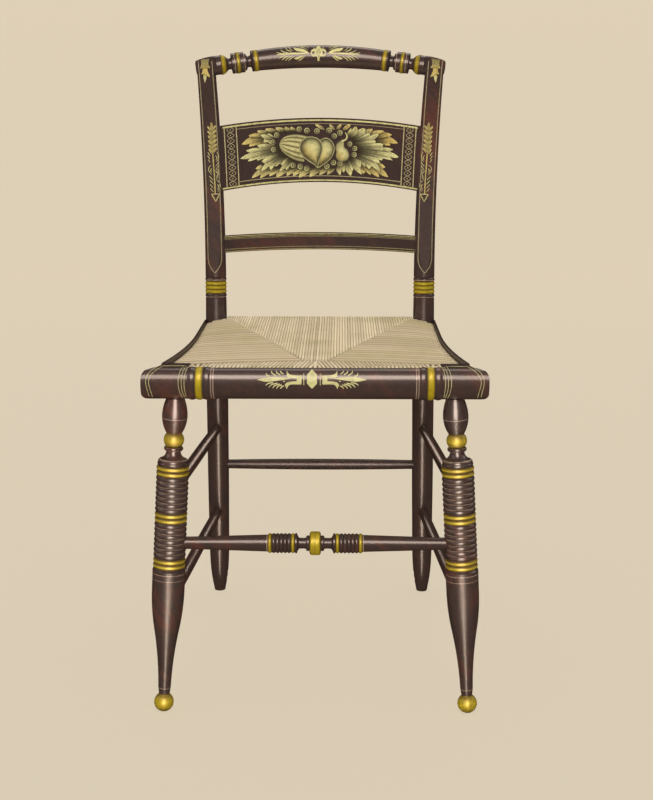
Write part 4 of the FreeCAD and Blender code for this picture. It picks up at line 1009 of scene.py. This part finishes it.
# Flower on the crest rail: a stenciled flower at the middle of the barrel between two curled horns, with
# spears and feathery strokes. The right half is the left half turned over about the flower's middle.
# Strokes in pixels of the photograph, each its points, width and tone
crest_middle_px = 318.5
crest_strokes = ((((276.6, 54.9), (290.0, 53.6), (309.0, 53.2)), 1.7, 0.9), (((294.0, 48.2), (297.0, 49.6),
    (302.4, 50.4), (307.6, 52.6)), 3.0, 1.0), (((296.6, 46.8), (302.0, 47.3), (307.6, 49.8)), 0.8, 0.6),
    (((300.0, 45.8), (305.0, 46.4), (308.6, 48.2)), 0.7, 0.5), (((285.0, 47.4), (287.4, 50.2), (291.4, 51.6)),
    1.0, 0.8), (((280.6, 49.9), (283.6, 52.0), (287.6, 52.6)), 1.0, 0.8), (((288.4, 46.6), (290.2, 49.2),
    (293.4, 50.8)), 0.8, 0.6), (((276.6, 52.6), (280.6, 53.6), (285.4, 53.8)), 1.0, 0.8), (((278.6, 58.8),
    (281.4, 57.0), (285.0, 55.6)), 0.9, 0.7), (((282.0, 60.2), (284.6, 57.8), (288.4, 55.8)), 1.0, 0.8),
    (((285.2, 60.8), (287.8, 58.2), (291.4, 56.0)), 1.0, 0.8), (((288.4, 61.0), (290.8, 58.6), (294.4, 56.2)),
    1.0, 0.8), (((298.4, 60.8), (301.4, 59.0), (305.4, 55.4)), 1.1, 0.8), (((294.4, 58.4), (297.4, 58.2),
    (303.0, 55.8)), 2.2, 0.9), (((311.0, 53.0), (312.6, 50.4), (315.6, 50.2)), 2.0, 0.95), (((311.0, 53.2),
    (313.4, 55.6), (316.4, 55.0)), 1.8, 0.95), (((313.8, 47.5), (314.4, 49.2), (315.6, 50.6)), 1.3, 0.8))
crest_flower = ((318.5, 45.4), (320.6, 47.6), (322.6, 51.2), (322.2, 55.0), (320.0, 57.2), (319.4, 60.4),
    (318.5, 61.0), (317.6, 60.4), (317.0, 57.2), (314.8, 55.0), (314.4, 51.2), (316.4, 47.6))


def turned_over(points, middle):
    """Points mirrored left to right about an upright line."""
    points = np.asarray(points, float)
    return pairs(2 * middle - points[:, 0], points[:, 1])


def flower_tone(angle, share):
    """Pale petals round a dark ring and a lit heart."""
    return np.interp(share, (0, 0.3, 0.45, 0.62, 1), (0.55, 0.95, 0.4, 0.95, 0.9))


def draw_crest():
    """Each stroke and its mirror image, then the flower over them."""
    crest = Stencil()
    for points, width, tone in crest_strokes:
        for side in (points, turned_over(points, crest_middle_px)):
            crest.stroke(side, width, tone, 0.1, (0.35, 0.6), 12)
    crest.body((crest_middle_px, 52.6), crest_flower, flower_tone, 0.1, 10, 36)
    return crest


put_on("crest_flower_stencil", (draw_crest(), photo_plane, "crest_rail", False))

# Stencil on the seat roll: a pointed lozenge between bars, forked tulips, and spears with a comb of
# strokes above and below. The blocks carry brushed lines: a pair round their ends and three bowed ones
# beside the beads. Drawn in pixels of the photograph, and the roll's left half is turned over.
roll_middle_px = 312.0
lozenge_left = ((311.9, 369.4), (309.4, 372.2), (307.0, 375.0), (307.2, 379.4), (307.0, 383.2), (309.6,
    386.4), (312.1, 388.8))
roll_shapes = ((((286.6, 370.2), (288.6, 373.6), (293.0, 375.2), (301.6, 375.6)), ((286.8, 376.9), (289.4,
    377.9), (294.0, 378.2), (301.6, 378.2))), (((286.8, 389.2), (288.0, 386.4), (291.4, 384.5), (301.6,
    384.6)), ((284.6, 384.6), (287.4, 382.4), (292.4, 381.4), (301.6, 381.4))), (((257.4, 379.6), (266.0,
    377.6), (276.0, 377.0), (290.0, 378.4)), ((257.4, 379.9), (266.0, 381.7), (276.0, 380.9), (290.0,
    378.8))), (((296.6, 377.6), (301.6, 377.6)), ((296.6, 382.0), (301.6, 382.0))))
roll_strokes = (((266.2, 373.0), (266.8, 375.2), (269.6, 376.6)), ((271.4, 370.8), (272.2, 373.4), (276.0,
    375.6)), ((276.3, 370.8), (277.0, 373.0), (280.2, 375.0)), ((280.3, 370.8), (281.2, 372.6), (283.4,
    374.2)), ((265.5, 385.4), (268.4, 383.4), (273.0, 382.6)), ((268.8, 387.4), (271.6, 384.6), (277.4,
    383.2)), ((272.6, 388.2), (274.8, 385.6), (279.8, 384.0)), ((276.4, 388.6), (278.2, 386.2), (281.8,
    384.8)), ((280.2, 388.8), (281.4, 387.2), (283.8, 385.8)), ((283.4, 381.3), (284.0, 381.3), (284.8,
    381.3)))
roll_bar = ((303.8, 373.4), (303.8, 379.0), (303.8, 385.2))
end_lines = (((160.8, 365.0), (152.6, 369.4), (146.9, 375.8), (145.7, 383.5), (149.0, 396.3)), ((163.4,
    365.7), (155.6, 370.4), (150.4, 375.9), (148.6, 383.5), (152.5, 396.8)), ((163.4, 365.9), (174.0, 365.8),
    (185.0, 365.8)))
bead_side_lines = (((183.7, 366.4), (180.2, 371.0), (178.3, 378.0), (178.3, 386.0), (180.0, 393.0), (182.6,
    397.6)), ((186.6, 366.4), (183.2, 371.0), (181.4, 378.0), (181.3, 386.0), (182.8, 393.0), (185.0, 397.6)),
    ((188.4, 366.6), (185.9, 371.0), (184.2, 378.0), (184.1, 386.0), (185.2, 393.0), (186.2, 397.0)))


def draw_roll():
    """Shapes between two curves, then strokes, each with its mirror image, and the lozenge between."""
    roll = Stencil()
    for pair in roll_shapes:
        curves = [smooth(edge, 18) for edge in pair]
        roll.between(*curves, 0.74, 0.0, 5)
        roll.between(*(turned_over(edge, roll_middle_px) for edge in curves), 0.74, 0.0, 5)
    for points in roll_strokes + (roll_bar,):
        width = 0.7 if points is roll_bar else 1.1
        for side in (points, turned_over(points, roll_middle_px)):
            roll.stroke(side, width, 0.78, 0.0, (0.5, 1.0), 12)
    left = smooth(lozenge_left, 24)
    roll.between(left, turned_over(left, roll_middle_px), 0.76, 0.0, 7)
    return roll


def draw_block():
    """Thin lines of one width on the left block."""
    block = Stencil()
    for points in end_lines + bead_side_lines:
        block.stroke(points, 0.62, 0.6, -0.1, (1, 1), 40)
    return block


put_on("roll_stencil_and_lines", (draw_roll(), photo_plane, "front_seat_roll", False),
       (draw_block(), photo_plane, "corner_block_left", True))

# Rush seat: cords twisted from rush leaves, woven round the four lists and stuffed between. Those of the
# back sector run front to back, those of the side sectors from side to side, and a short slanted row
# wraps the front list.
rush_random = np.random.default_rng(12)
rush_pale = linear(246, 230, 196)
rush_straw = linear(198, 179, 148)
rush_green = linear(196, 184, 134)
rush_dark = linear(98, 80, 54)
cord_pitch = 0.0038
side_cord_pitch = 0.0044
cord_rise_share = 0.42
cord_columns = 5
cord_spread_share = 0.53
cord_twist_pitch = 0.012
list_wrap_radius = 0.015
front_list_place = (-0.19985, 0.444)
rear_list_place = (0.15484, 0.448)
seat_crown_rise = 0.004
seat_side_drop = 0.0055
seam_rear = (0.1396, 0.1426)
seam_front = (0.0133, -0.1722)
seam_overlap = 0.005
# A cord's end is the run of its dip, the painted shade on its edges and on its last part, and the dip's depth
seam_end = (0.007, 0.0, 0.8, 0.0035)
side_curve_radius = 0.943
side_curve_start = 0.01515
side_half_width = 0.175
side_inset = 0.0037
side_round = 0.008
side_edge_drop = 0.003
back_sector_lead = 0.002
crown_fall_power = 1.6
end_shade_share = 0.7
side_tone = 0.95
strip_half_width = 0.1585
strip_slant = 0.0066
strip_slant_fade = 0.012
strip_pitch = 0.005
# The front row's cords are likewise given painted shade, strongest along their edges
strip_end = (0.003, 0.85, 0.3, 0.0006)
strip_front = -0.193
rear_post_place = (0.158, 0.15295)
rear_post_reach = 0.0172
rear_reach = 0.1388


def seat_side(back):
    """Half width of the rush inside the side strips: straight at the back, then an arc to the front."""
    forward = np.maximum(side_curve_start - back, 0)
    return side_half_width + side_curve_radius - np.sqrt((side_curve_radius + side_inset) ** 2 - forward**2)


def list_share(back):
    """0 over the front list, 1 over the rear list."""
    return np.clip((back - front_list_place[0]) / (rear_list_place[0] - front_list_place[0]), 0, 1)


def seat_top(x, back):
    """Height of the rush: it rises from the front list and falls towards the sides."""
    share = list_share(back)
    crown = front_list_place[1] + list_wrap_radius + seat_crown_rise * share * (2 - share)
    beyond = np.clip((abs(x) - seam_x(back)) / (seat_side(back) - seam_x(back)), 0, 1)
    return crown - seat_side_drop * beyond**crown_fall_power


def seat_bottom(back):
    """Height of the rush's underside, level with the lists and rising with them."""
    lift = rear_list_place[1] - front_list_place[1]
    return front_list_place[1] - list_wrap_radius + lift * list_share(back)


def seam_x(back):
    """Half width of the back sector: a straight line from its width at the back to that in front."""
    share = (seam_rear[1] - back) / (seam_rear[1] - seam_front[1])
    return seam_rear[0] + (seam_front[0] - seam_rear[0]) * share


def seam_back(x):
    """Distance back at which the seam has a half width: the same line, read the other way."""
    share = np.clip((seam_rear[0] - abs(x)) / (seam_rear[0] - seam_front[0]), 0, 1)
    return seam_rear[1] + (seam_front[1] - seam_rear[1]) * share


def wrap(place, turns):
    """Points (back, up) of an arc round a list."""
    return pairs(place[0] + list_wrap_radius * np.sin(turns), place[1] + list_wrap_radius * np.cos(turns))


def lay_cord(sheets, path, side, pitch, tone, warm, end=seam_end):
    """Half-round cord along a path on the seat's skin. Across it a point lies at minus the cosine of its
    turn and rises with the sine; near both ends it dips under its neighbours as (1 - distance / run)^1.5.
    Its tone is darkened near both ends and towards its two edges, as painted shade where it meets and
    turns under its neighbours."""
    dip_run, edge_shade, tail_shade, sink = end
    along = np.gradient(path, axis=0)
    along /= np.linalg.norm(along, axis=1)[:, None]
    out = np.cross(np.broadcast_to(side, along.shape), along)
    out /= np.linalg.norm(out, axis=1)[:, None]
    steps = np.linalg.norm(np.diff(path, axis=0), axis=1)
    length = np.concatenate([[0.0], np.cumsum(steps)])
    to_end = np.minimum(length, length[-1] - length)
    dip = sink * np.clip(1 - to_end / dip_run, 0, 1) ** 1.5
    turns = np.linspace(0, math.pi, cord_columns)
    across = -np.cos(turns) * pitch * cord_spread_share
    up = (np.sin(turns) - 1) * pitch * cord_rise_share
    rise = (up - dip[:, None])[..., None] * out[:, None]
    points = path[:, None] + across[:, None] * np.asarray(side) + rise
    uv = np.stack(np.broadcast_arrays(length[:, None], np.linspace(0, 1, cord_columns)[None]), -1)
    # Painted shade: darker over the last part before each end and towards the cord's edges
    shade = 1 - tail_shade * np.clip(1 - to_end / (end_shade_share * dip_run), 0, 1)
    shade = shade[:, None] * (1 - edge_shade * np.abs(np.linspace(-1, 1, cord_columns)))
    sheets.add(points, tone * shade, warm, uv)


def streaks(count, run, depth, stray=2):
    """Tones of neighbouring cords that drift, with one darker by a depth about every run of them."""
    fine = rush_random.uniform(0.86, 1.0, count)
    slow = np.repeat(rush_random.uniform(-0.07, 0.07, count // run + 1), run)[:count]
    dark = np.where((np.arange(count) + rush_random.integers(0, stray, count)) % run == 0, depth, 0.0)
    return np.clip(fine + slow - dark, 0.3, 1.0)


def back_cords(sheets):
    """From the seam back over the rear list and forward again below, one cord beside the other."""
    round_rear = wrap(rear_list_place, np.linspace(0, math.pi, 13))
    count = round(2 * rear_reach / cord_pitch) + 1
    tones = streaks(count, 6, 0.12)
    for x, tone in zip(np.linspace(-rear_reach, rear_reach, count), tones):
        start = max(seam_back(x) - seam_overlap, seam_front[1] - back_sector_lead)
        run = np.linspace(start, rear_list_place[0], 24)[:-1]
        back, below = pairs(run, seat_top(x, run)), pairs(run[::-1], seat_bottom(run[::-1]))
        rows = np.concatenate([back, round_rear, below])
        path = np.insert(rows, 0, x, axis=1)
        lay_cord(sheets, path, (1.0, 0.0, 0.0), cord_pitch, tone, rush_random.uniform(0.7, 1))


def side_cords(sheets):
    """From the seam out to the side, down a quarter round at each edge, and back below; a cord beside a
    rear post stops at its round, and one too short to turn is left out."""
    count = int((seam_rear[1] - seam_front[1]) / side_cord_pitch)
    corner = np.linspace(0, math.pi / 2, 5)
    for sign in (-1, 1):
        tones = streaks(count, 3, 0.34, 1)
        for back, tone in zip(np.linspace(seam_front[1] + side_cord_pitch / 2, seam_rear[1], count), tones):
            outer = float(seat_side(back))
            near = rear_post_reach**2 - (rear_post_place[1] - back - side_cord_pitch / 2) ** 2
            if near > 0:
                outer = rear_post_place[0] - math.sqrt(near)
            inner = seam_x(back) - seam_overlap
            if outer - inner < 2 * side_round:
                continue
            run = np.linspace(inner, outer - side_round, 18)
            edge, bottom = float(seat_top(outer, back)), float(seat_bottom(back))
            out, over = side_round * (1 - np.sin(corner)), 1 - np.cos(corner)
            rows = np.concatenate([
                pairs(run[:-1], seat_top(run[:-1], back)), pairs(outer - out, edge - side_edge_drop * over),
                [(outer, bottom + side_round)], pairs(outer - side_round * over, bottom + out),
                pairs(run[::-1][1:], bottom)])
            path = np.insert(rows * (sign, 1), 1, back, axis=1)
            side = (0.0, -1.0 * sign, 0.0)
            lay_cord(sheets, path, side, side_cord_pitch, side_tone * tone, rush_random.uniform(0, 0.4))


def front_cords(sheets):
    """Short cords round the front list, each slanted: it is moved aside in proportion to its distance
    forward of the seam, less near the ends of the row."""
    count = int(2 * strip_half_width / strip_pitch)
    round_front = wrap(front_list_place, np.linspace(0, -math.pi, 15))
    run = np.linspace(seam_front[1] + 0.001, strip_front, 6)
    tones = streaks(count, 5, 0.1)
    for x, tone in zip(np.linspace(-strip_half_width, strip_half_width, count), tones):
        rows = [pairs(run, seat_top(x, run)), round_front, pairs(run[::-1], seat_bottom(run[::-1]))]
        path = np.insert(np.concatenate(rows), 0, x, axis=1)
        slant = np.clip((seam_front[1] - path[:, 1]) / (seam_front[1] - front_list_place[0]), 0, 2) - 1
        fade = np.clip((strip_half_width - abs(x)) / strip_slant_fade, 0, 1)
        path[:, 0] += np.sign(x) * strip_slant * slant * fade
        lay_cord(sheets, path, (-1.0, 0.0, 0.0), strip_pitch, tone, rush_random.uniform(0.6, 1), strip_end)


def woven_rush():
    """Straw colour with pale and green clouds. Painted shade darkens the cord's sides, at |2v - 1| near 1,
    where it meets its neighbours; dark also lies where the tone attribute is low, from the cords' random
    streaks and the painted shade of their edges and ends. The twist is a sine of the length plus a share of
    v."""
    shader = Shader("woven_rush")
    tone, warm = shader.attribute("tone"), shader.attribute("warm")
    uv = shader.add("ShaderNodeUVMap", uv_map="along").outputs[0]
    parts = shader.add("ShaderNodeSeparateXYZ", {0: uv})
    turns = shader.math("DIVIDE", parts.outputs[0], cord_twist_pitch)
    lay = shader.math("ADD", turns, shader.times(parts.outputs[1], 0.6))
    strands = shader.math("MULTIPLY_ADD", shader.math("SINE", shader.times(lay, 6 * math.pi)), 0.5, 0.5)
    fibre = shader.noise(shader.vector("MULTIPLY", uv, (120.0, 6.0, 1.0)), 6.0, 3.0, 0.6)
    cloud = shader.noise(shader.place, 14.0, 2.0, 0.5)
    straw = shader.mix(warm, rush_straw, rush_pale)
    straw = shader.mix(shader.ramp(cloud, [(0.45, 0.0), (0.68, 0.5)]), straw, rush_green)
    straw = shader.mix(shader.times(shader.ramp(fibre, [(0.35, 1.0), (0.62, 0.0)]), 0.3), straw, rush_dark)
    # Painted shade along each cord's sides, where it meets the next
    valley_shade = shader.math("ABSOLUTE", shader.math("MULTIPLY_ADD", parts.outputs[1], 2.0, -1.0))
    valley_shade = shader.ramp(valley_shade, [(0.45, 0.0), (0.88, 0.85)])
    dark = shader.math("MAXIMUM", valley_shade, shader.math("SUBTRACT", 1.0, tone), clamp=True)
    shader.finish(Base_Color=shader.mix(dark, straw, rush_dark), Roughness=0.62, Specular_IOR_Level=0.3)
    shader.bump(shader.math("ADD", shader.times(strands, 0.7), fibre), 0.0006, 0.6)
    return shader.material


rush_sheets = Sheets()
for lay_sector in (back_cords, side_cords, front_cords):
    lay_sector(rush_sheets)
rush_seat = rush_sheets.build("rush_weave", woven_rush())
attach(rush_seat, "root")
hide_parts("rush_seat", "rush_stuffing")

# Studio sheet: one pale sheet of paper for floor and backdrop, with a surround that lights the chair but
# is not seen in its varnish
studio_colour = linear(219, 206, 183)
studio_shade = linear(205, 190, 165)
black = (0.0, 0.0, 0.0, 1.0)
surround_colour = (1.0, 0.97, 0.92, 1.0)
surround_strength = 0.32
studio_glow = 0.87
floor_half_width = 6.0
floor_front = -4.0
floor_back = 4.0
backdrop_height = 5.0
backdrop_radius = 1.5


def flat_mesh(name, points, faces):
    """Object of a few flat faces, for the stage."""
    mesh = bpy.data.meshes.new(name)
    mesh.from_pydata(points, [], faces)
    mesh.shade_smooth()
    return placed(name, mesh)


def studio_sheet():
    """Profile of a level floor, a quarter circle and an upright end, carried from side to side."""
    turns = np.linspace(0, math.pi / 2, 17)
    end = floor_back + backdrop_radius
    back = np.concatenate([[floor_front], floor_back + backdrop_radius * np.sin(turns), [end]])
    up = np.concatenate([[0.0], backdrop_radius * (1 - np.cos(turns)), [backdrop_height]])
    side = np.array([-1, 1]) * floor_half_width
    points = np.stack(np.broadcast_arrays(side, back[:, None], up[:, None]), -1).reshape(-1, 3)
    faces = 2 * np.arange(len(back) - 1)[:, None] + (0, 1, 3, 2)
    sheet = flat_mesh("studio_sheet", points.tolist(), faces.tolist())
    shader = Shader("studio_paper")
    paper = shader.noise(shader.place, 220.0, 3.0, 0.6)
    tone = shader.mix(shader.times(paper, 0.12), studio_colour, studio_shade)
    shader.finish(Base_Color=shader.mix(0.6, tone, black), Roughness=0.9, Specular_IOR_Level=0.1,
                  Emission_Color=tone, Emission_Strength=studio_glow)
    sheet.data.materials.append(shader.material)
    return sheet


sheet = studio_sheet()
sheet.visible_glossy = False
sheet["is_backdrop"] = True

world = bpy.data.worlds.new("studio")
world.use_nodes = True
surround = world.node_tree.nodes["Background"]
surround.inputs["Color"].default_value = surround_colour
surround.inputs["Strength"].default_value = surround_strength
seen = world.node_tree.nodes.new("ShaderNodeBackground")
seen.inputs["Color"].default_value = studio_colour
mixed = world.node_tree.nodes.new("ShaderNodeMixShader")
ray = world.node_tree.nodes.new("ShaderNodeLightPath").outputs["Is Camera Ray"]
output = world.node_tree.nodes["World Output"].inputs["Surface"]
for start, end in ((ray, mixed.inputs[0]), (surround.outputs[0], mixed.inputs[1]),
                   (seen.outputs[0], mixed.inputs[2]), (mixed.outputs[0], output)):
    world.node_tree.links.new(start, end)
world.cycles_visibility.glossy = False
bpy.context.scene.world = world
bpy.context.scene.view_settings.view_transform = "Standard"

# Lamps: the front, top and rush lamps give fill only, the left, right and back ones fill and shine, and
# each of the others gives one group of pieces the shine of its varnish
warm_white = (1.0, 0.88, 0.79)
pale_warm = (1.0, 0.92, 0.84)
cool_white = (1.0, 0.98, 0.95)
dim_warm = (1.0, 0.8, 0.66)
chair_names = [item.name for item in bpy.context.scene.objects
               if item.type == "MESH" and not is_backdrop(item)]
post_names = ("back_post_left", "back_post_right")
leg_names = ("front_leg_left", "front_leg_right")
side_names = ("upper_side_stretcher_left", "upper_side_stretcher_right",
              "lower_side_stretcher_left", "lower_side_stretcher_right")
roll_names = ("front_seat_roll", "corner_block_left", "corner_block_right", "roll_stencil_and_lines")
matt_names = ("stenciled_slat", "lower_slat", "slat_fruit_stencil", "slat_border_lines", "rush_weave",
              "post_wheat_and_lines")
special_names = post_names + leg_names + side_names + roll_names + matt_names
level_names = [name for name in chair_names if name not in special_names]
# Name, place, aim, width and height, power, colour, the pieces that it reaches, whether it shines and
# fills, and whether it reaches them past all the others
lamps = (
    ("leg_lamp", (0.034, -1.98, 1.1), (0.034, 0.0, 1.1), (0.95, 2.2), 140.0, warm_white,
     leg_names + ("rear_stretcher",), True, False, False),
    ("post_lamp", (0.034, -1.98, 0.17), (0.034, 0.0, 0.17), (0.8, 0.34), 26.0, warm_white,
     post_names, True, False, True),
    ("side_lamp_left", (0.42, 2.2, 0.85), (0.0, 0.0, 0.3), (0.5, 0.5), 6.0, dim_warm,
     side_names[::2], True, False, False),
    ("side_lamp_right", (-0.34, 2.2, 0.85), (0.0, 0.0, 0.3), (0.5, 0.5), 6.0, dim_warm,
     side_names[1::2], True, False, False),
    ("roll_lamp", (0.0, -1.5, 2.42), (0.0, -0.21, 0.44), (1.9, 1.2), 105.0, warm_white,
     roll_names, True, False, False),
    ("level_lamp", (0.0, -1.82, 1.55), (0.0, 0.0, 0.5), (1.9, 1.25), 84.0, warm_white,
     level_names, True, False, False),
    ("front_lamp", (0.034, -2.2, 1.0), (0.0, 0.0, 0.45), (1.0, 1.0), 28.0, cool_white,
     chair_names, False, True, False),
    ("top_lamp", (0.0, 0.1, 2.8), (0.0, 0.0, 0.4), (1.6, 1.6), 14.0, cool_white,
     chair_names, False, True, False),
    ("left_lamp", (-2.4, -0.6, 1.9), (0.0, 0.0, 0.4), (1.6, 1.6), 20.0, pale_warm,
     chair_names, True, True, False),
    ("right_lamp", (2.4, 0.4, 1.9), (0.0, 0.0, 0.4), (1.6, 1.6), 18.0, pale_warm,
     chair_names, True, True, False),
    ("back_lamp", (0.3, 1.9, 2.9), (0.0, 0.0, 0.5), (2.0, 1.2), 18.0, pale_warm,
     chair_names, True, True, False),
    ("rush_lamp", (0.3, 0.2, 2.2), (0.0, 0.0, 0.46), (1.0, 0.6), 7.0, cool_white,
     ("rush_weave",), False, True, False),
)


def lamp(name, place, aim, size, power, colour):
    """Rectangular soft lamp, size = (width, height), turned towards a point."""
    data = bpy.data.lights.new(name, "AREA")
    data.shape = "RECTANGLE"
    data.size, data.size_y = size
    data.energy = power
    data.color = colour
    item = placed(name, data)
    item.location = place
    item.rotation_euler = (Vector(aim) - Vector(place)).to_track_quat("-Z", "Y").to_euler()
    return item


def light_only(item, names, shine, fill, clear=False):
    """Limits a lamp to the named pieces, and to the shine or the fill that it gives them. A clear lamp
    reaches them past all the others."""
    group = bpy.data.collections.new(item.name + "_pieces")
    for name in names:
        group.objects.link(bpy.data.objects[name])
    item.light_linking.receiver_collection = group
    if clear:
        item.light_linking.blocker_collection = group
    item.visible_glossy = shine
    item.visible_diffuse = fill
    item.visible_camera = item.visible_transmission = False


for *values, names, shine, fill, clear in lamps:
    light_only(lamp(*values), names, shine, fill, clear)

# Floor glows: bright wedges on the floor before each leg and post, seen only in their varnish, where
# they give the upright gleams of the photograph
rear_foot = (0.16576, 0.206528)
glow_half_turn = 0.2
glow_height = 0.002
glow_gap = 0.04
leg_glow = 30.0
post_glow = 15.0


def floor_glow(name, foot, strength):
    """Triangle with its point near the foot and its far corners as far off as the camera, half a turn to
    each side of the way there."""
    foot = np.array(foot)
    ahead = np.array(camera_place[:2]) - foot
    length = np.linalg.norm(ahead)
    turns = math.atan2(ahead[1], ahead[0]) + np.array([-1, 1]) * glow_half_turn
    far = foot + length * pairs(np.cos(turns), np.sin(turns))
    corners = np.insert(np.vstack([foot + glow_gap * ahead / length, far]), 2, glow_height, axis=1)
    card = flat_mesh(name, corners.tolist(), [(0, 1, 2)])
    shader = Shader(name)
    glow = shader.mix(shader.noise(shader.place, 3.0), linear(255, 234, 212), linear(255, 240, 224))
    shader.finish(Emission_Color=glow, Emission_Strength=strength, Base_Color=black)
    card.data.materials.append(shader.material)
    card.visible_shadow = False
    return card


for side, node, foot, strength in (
        (-1, "front_leg_left", leg_foot, leg_glow), (1, "front_leg_right", leg_foot, leg_glow),
        (-1, "back_post_left", rear_foot, post_glow), (1, "back_post_right", rear_foot, post_glow)):
    glow = floor_glow(node + "_glow", (side * foot[0], foot[1]), strength)
    glow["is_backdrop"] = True
    light_only(glow, [node], True, False)
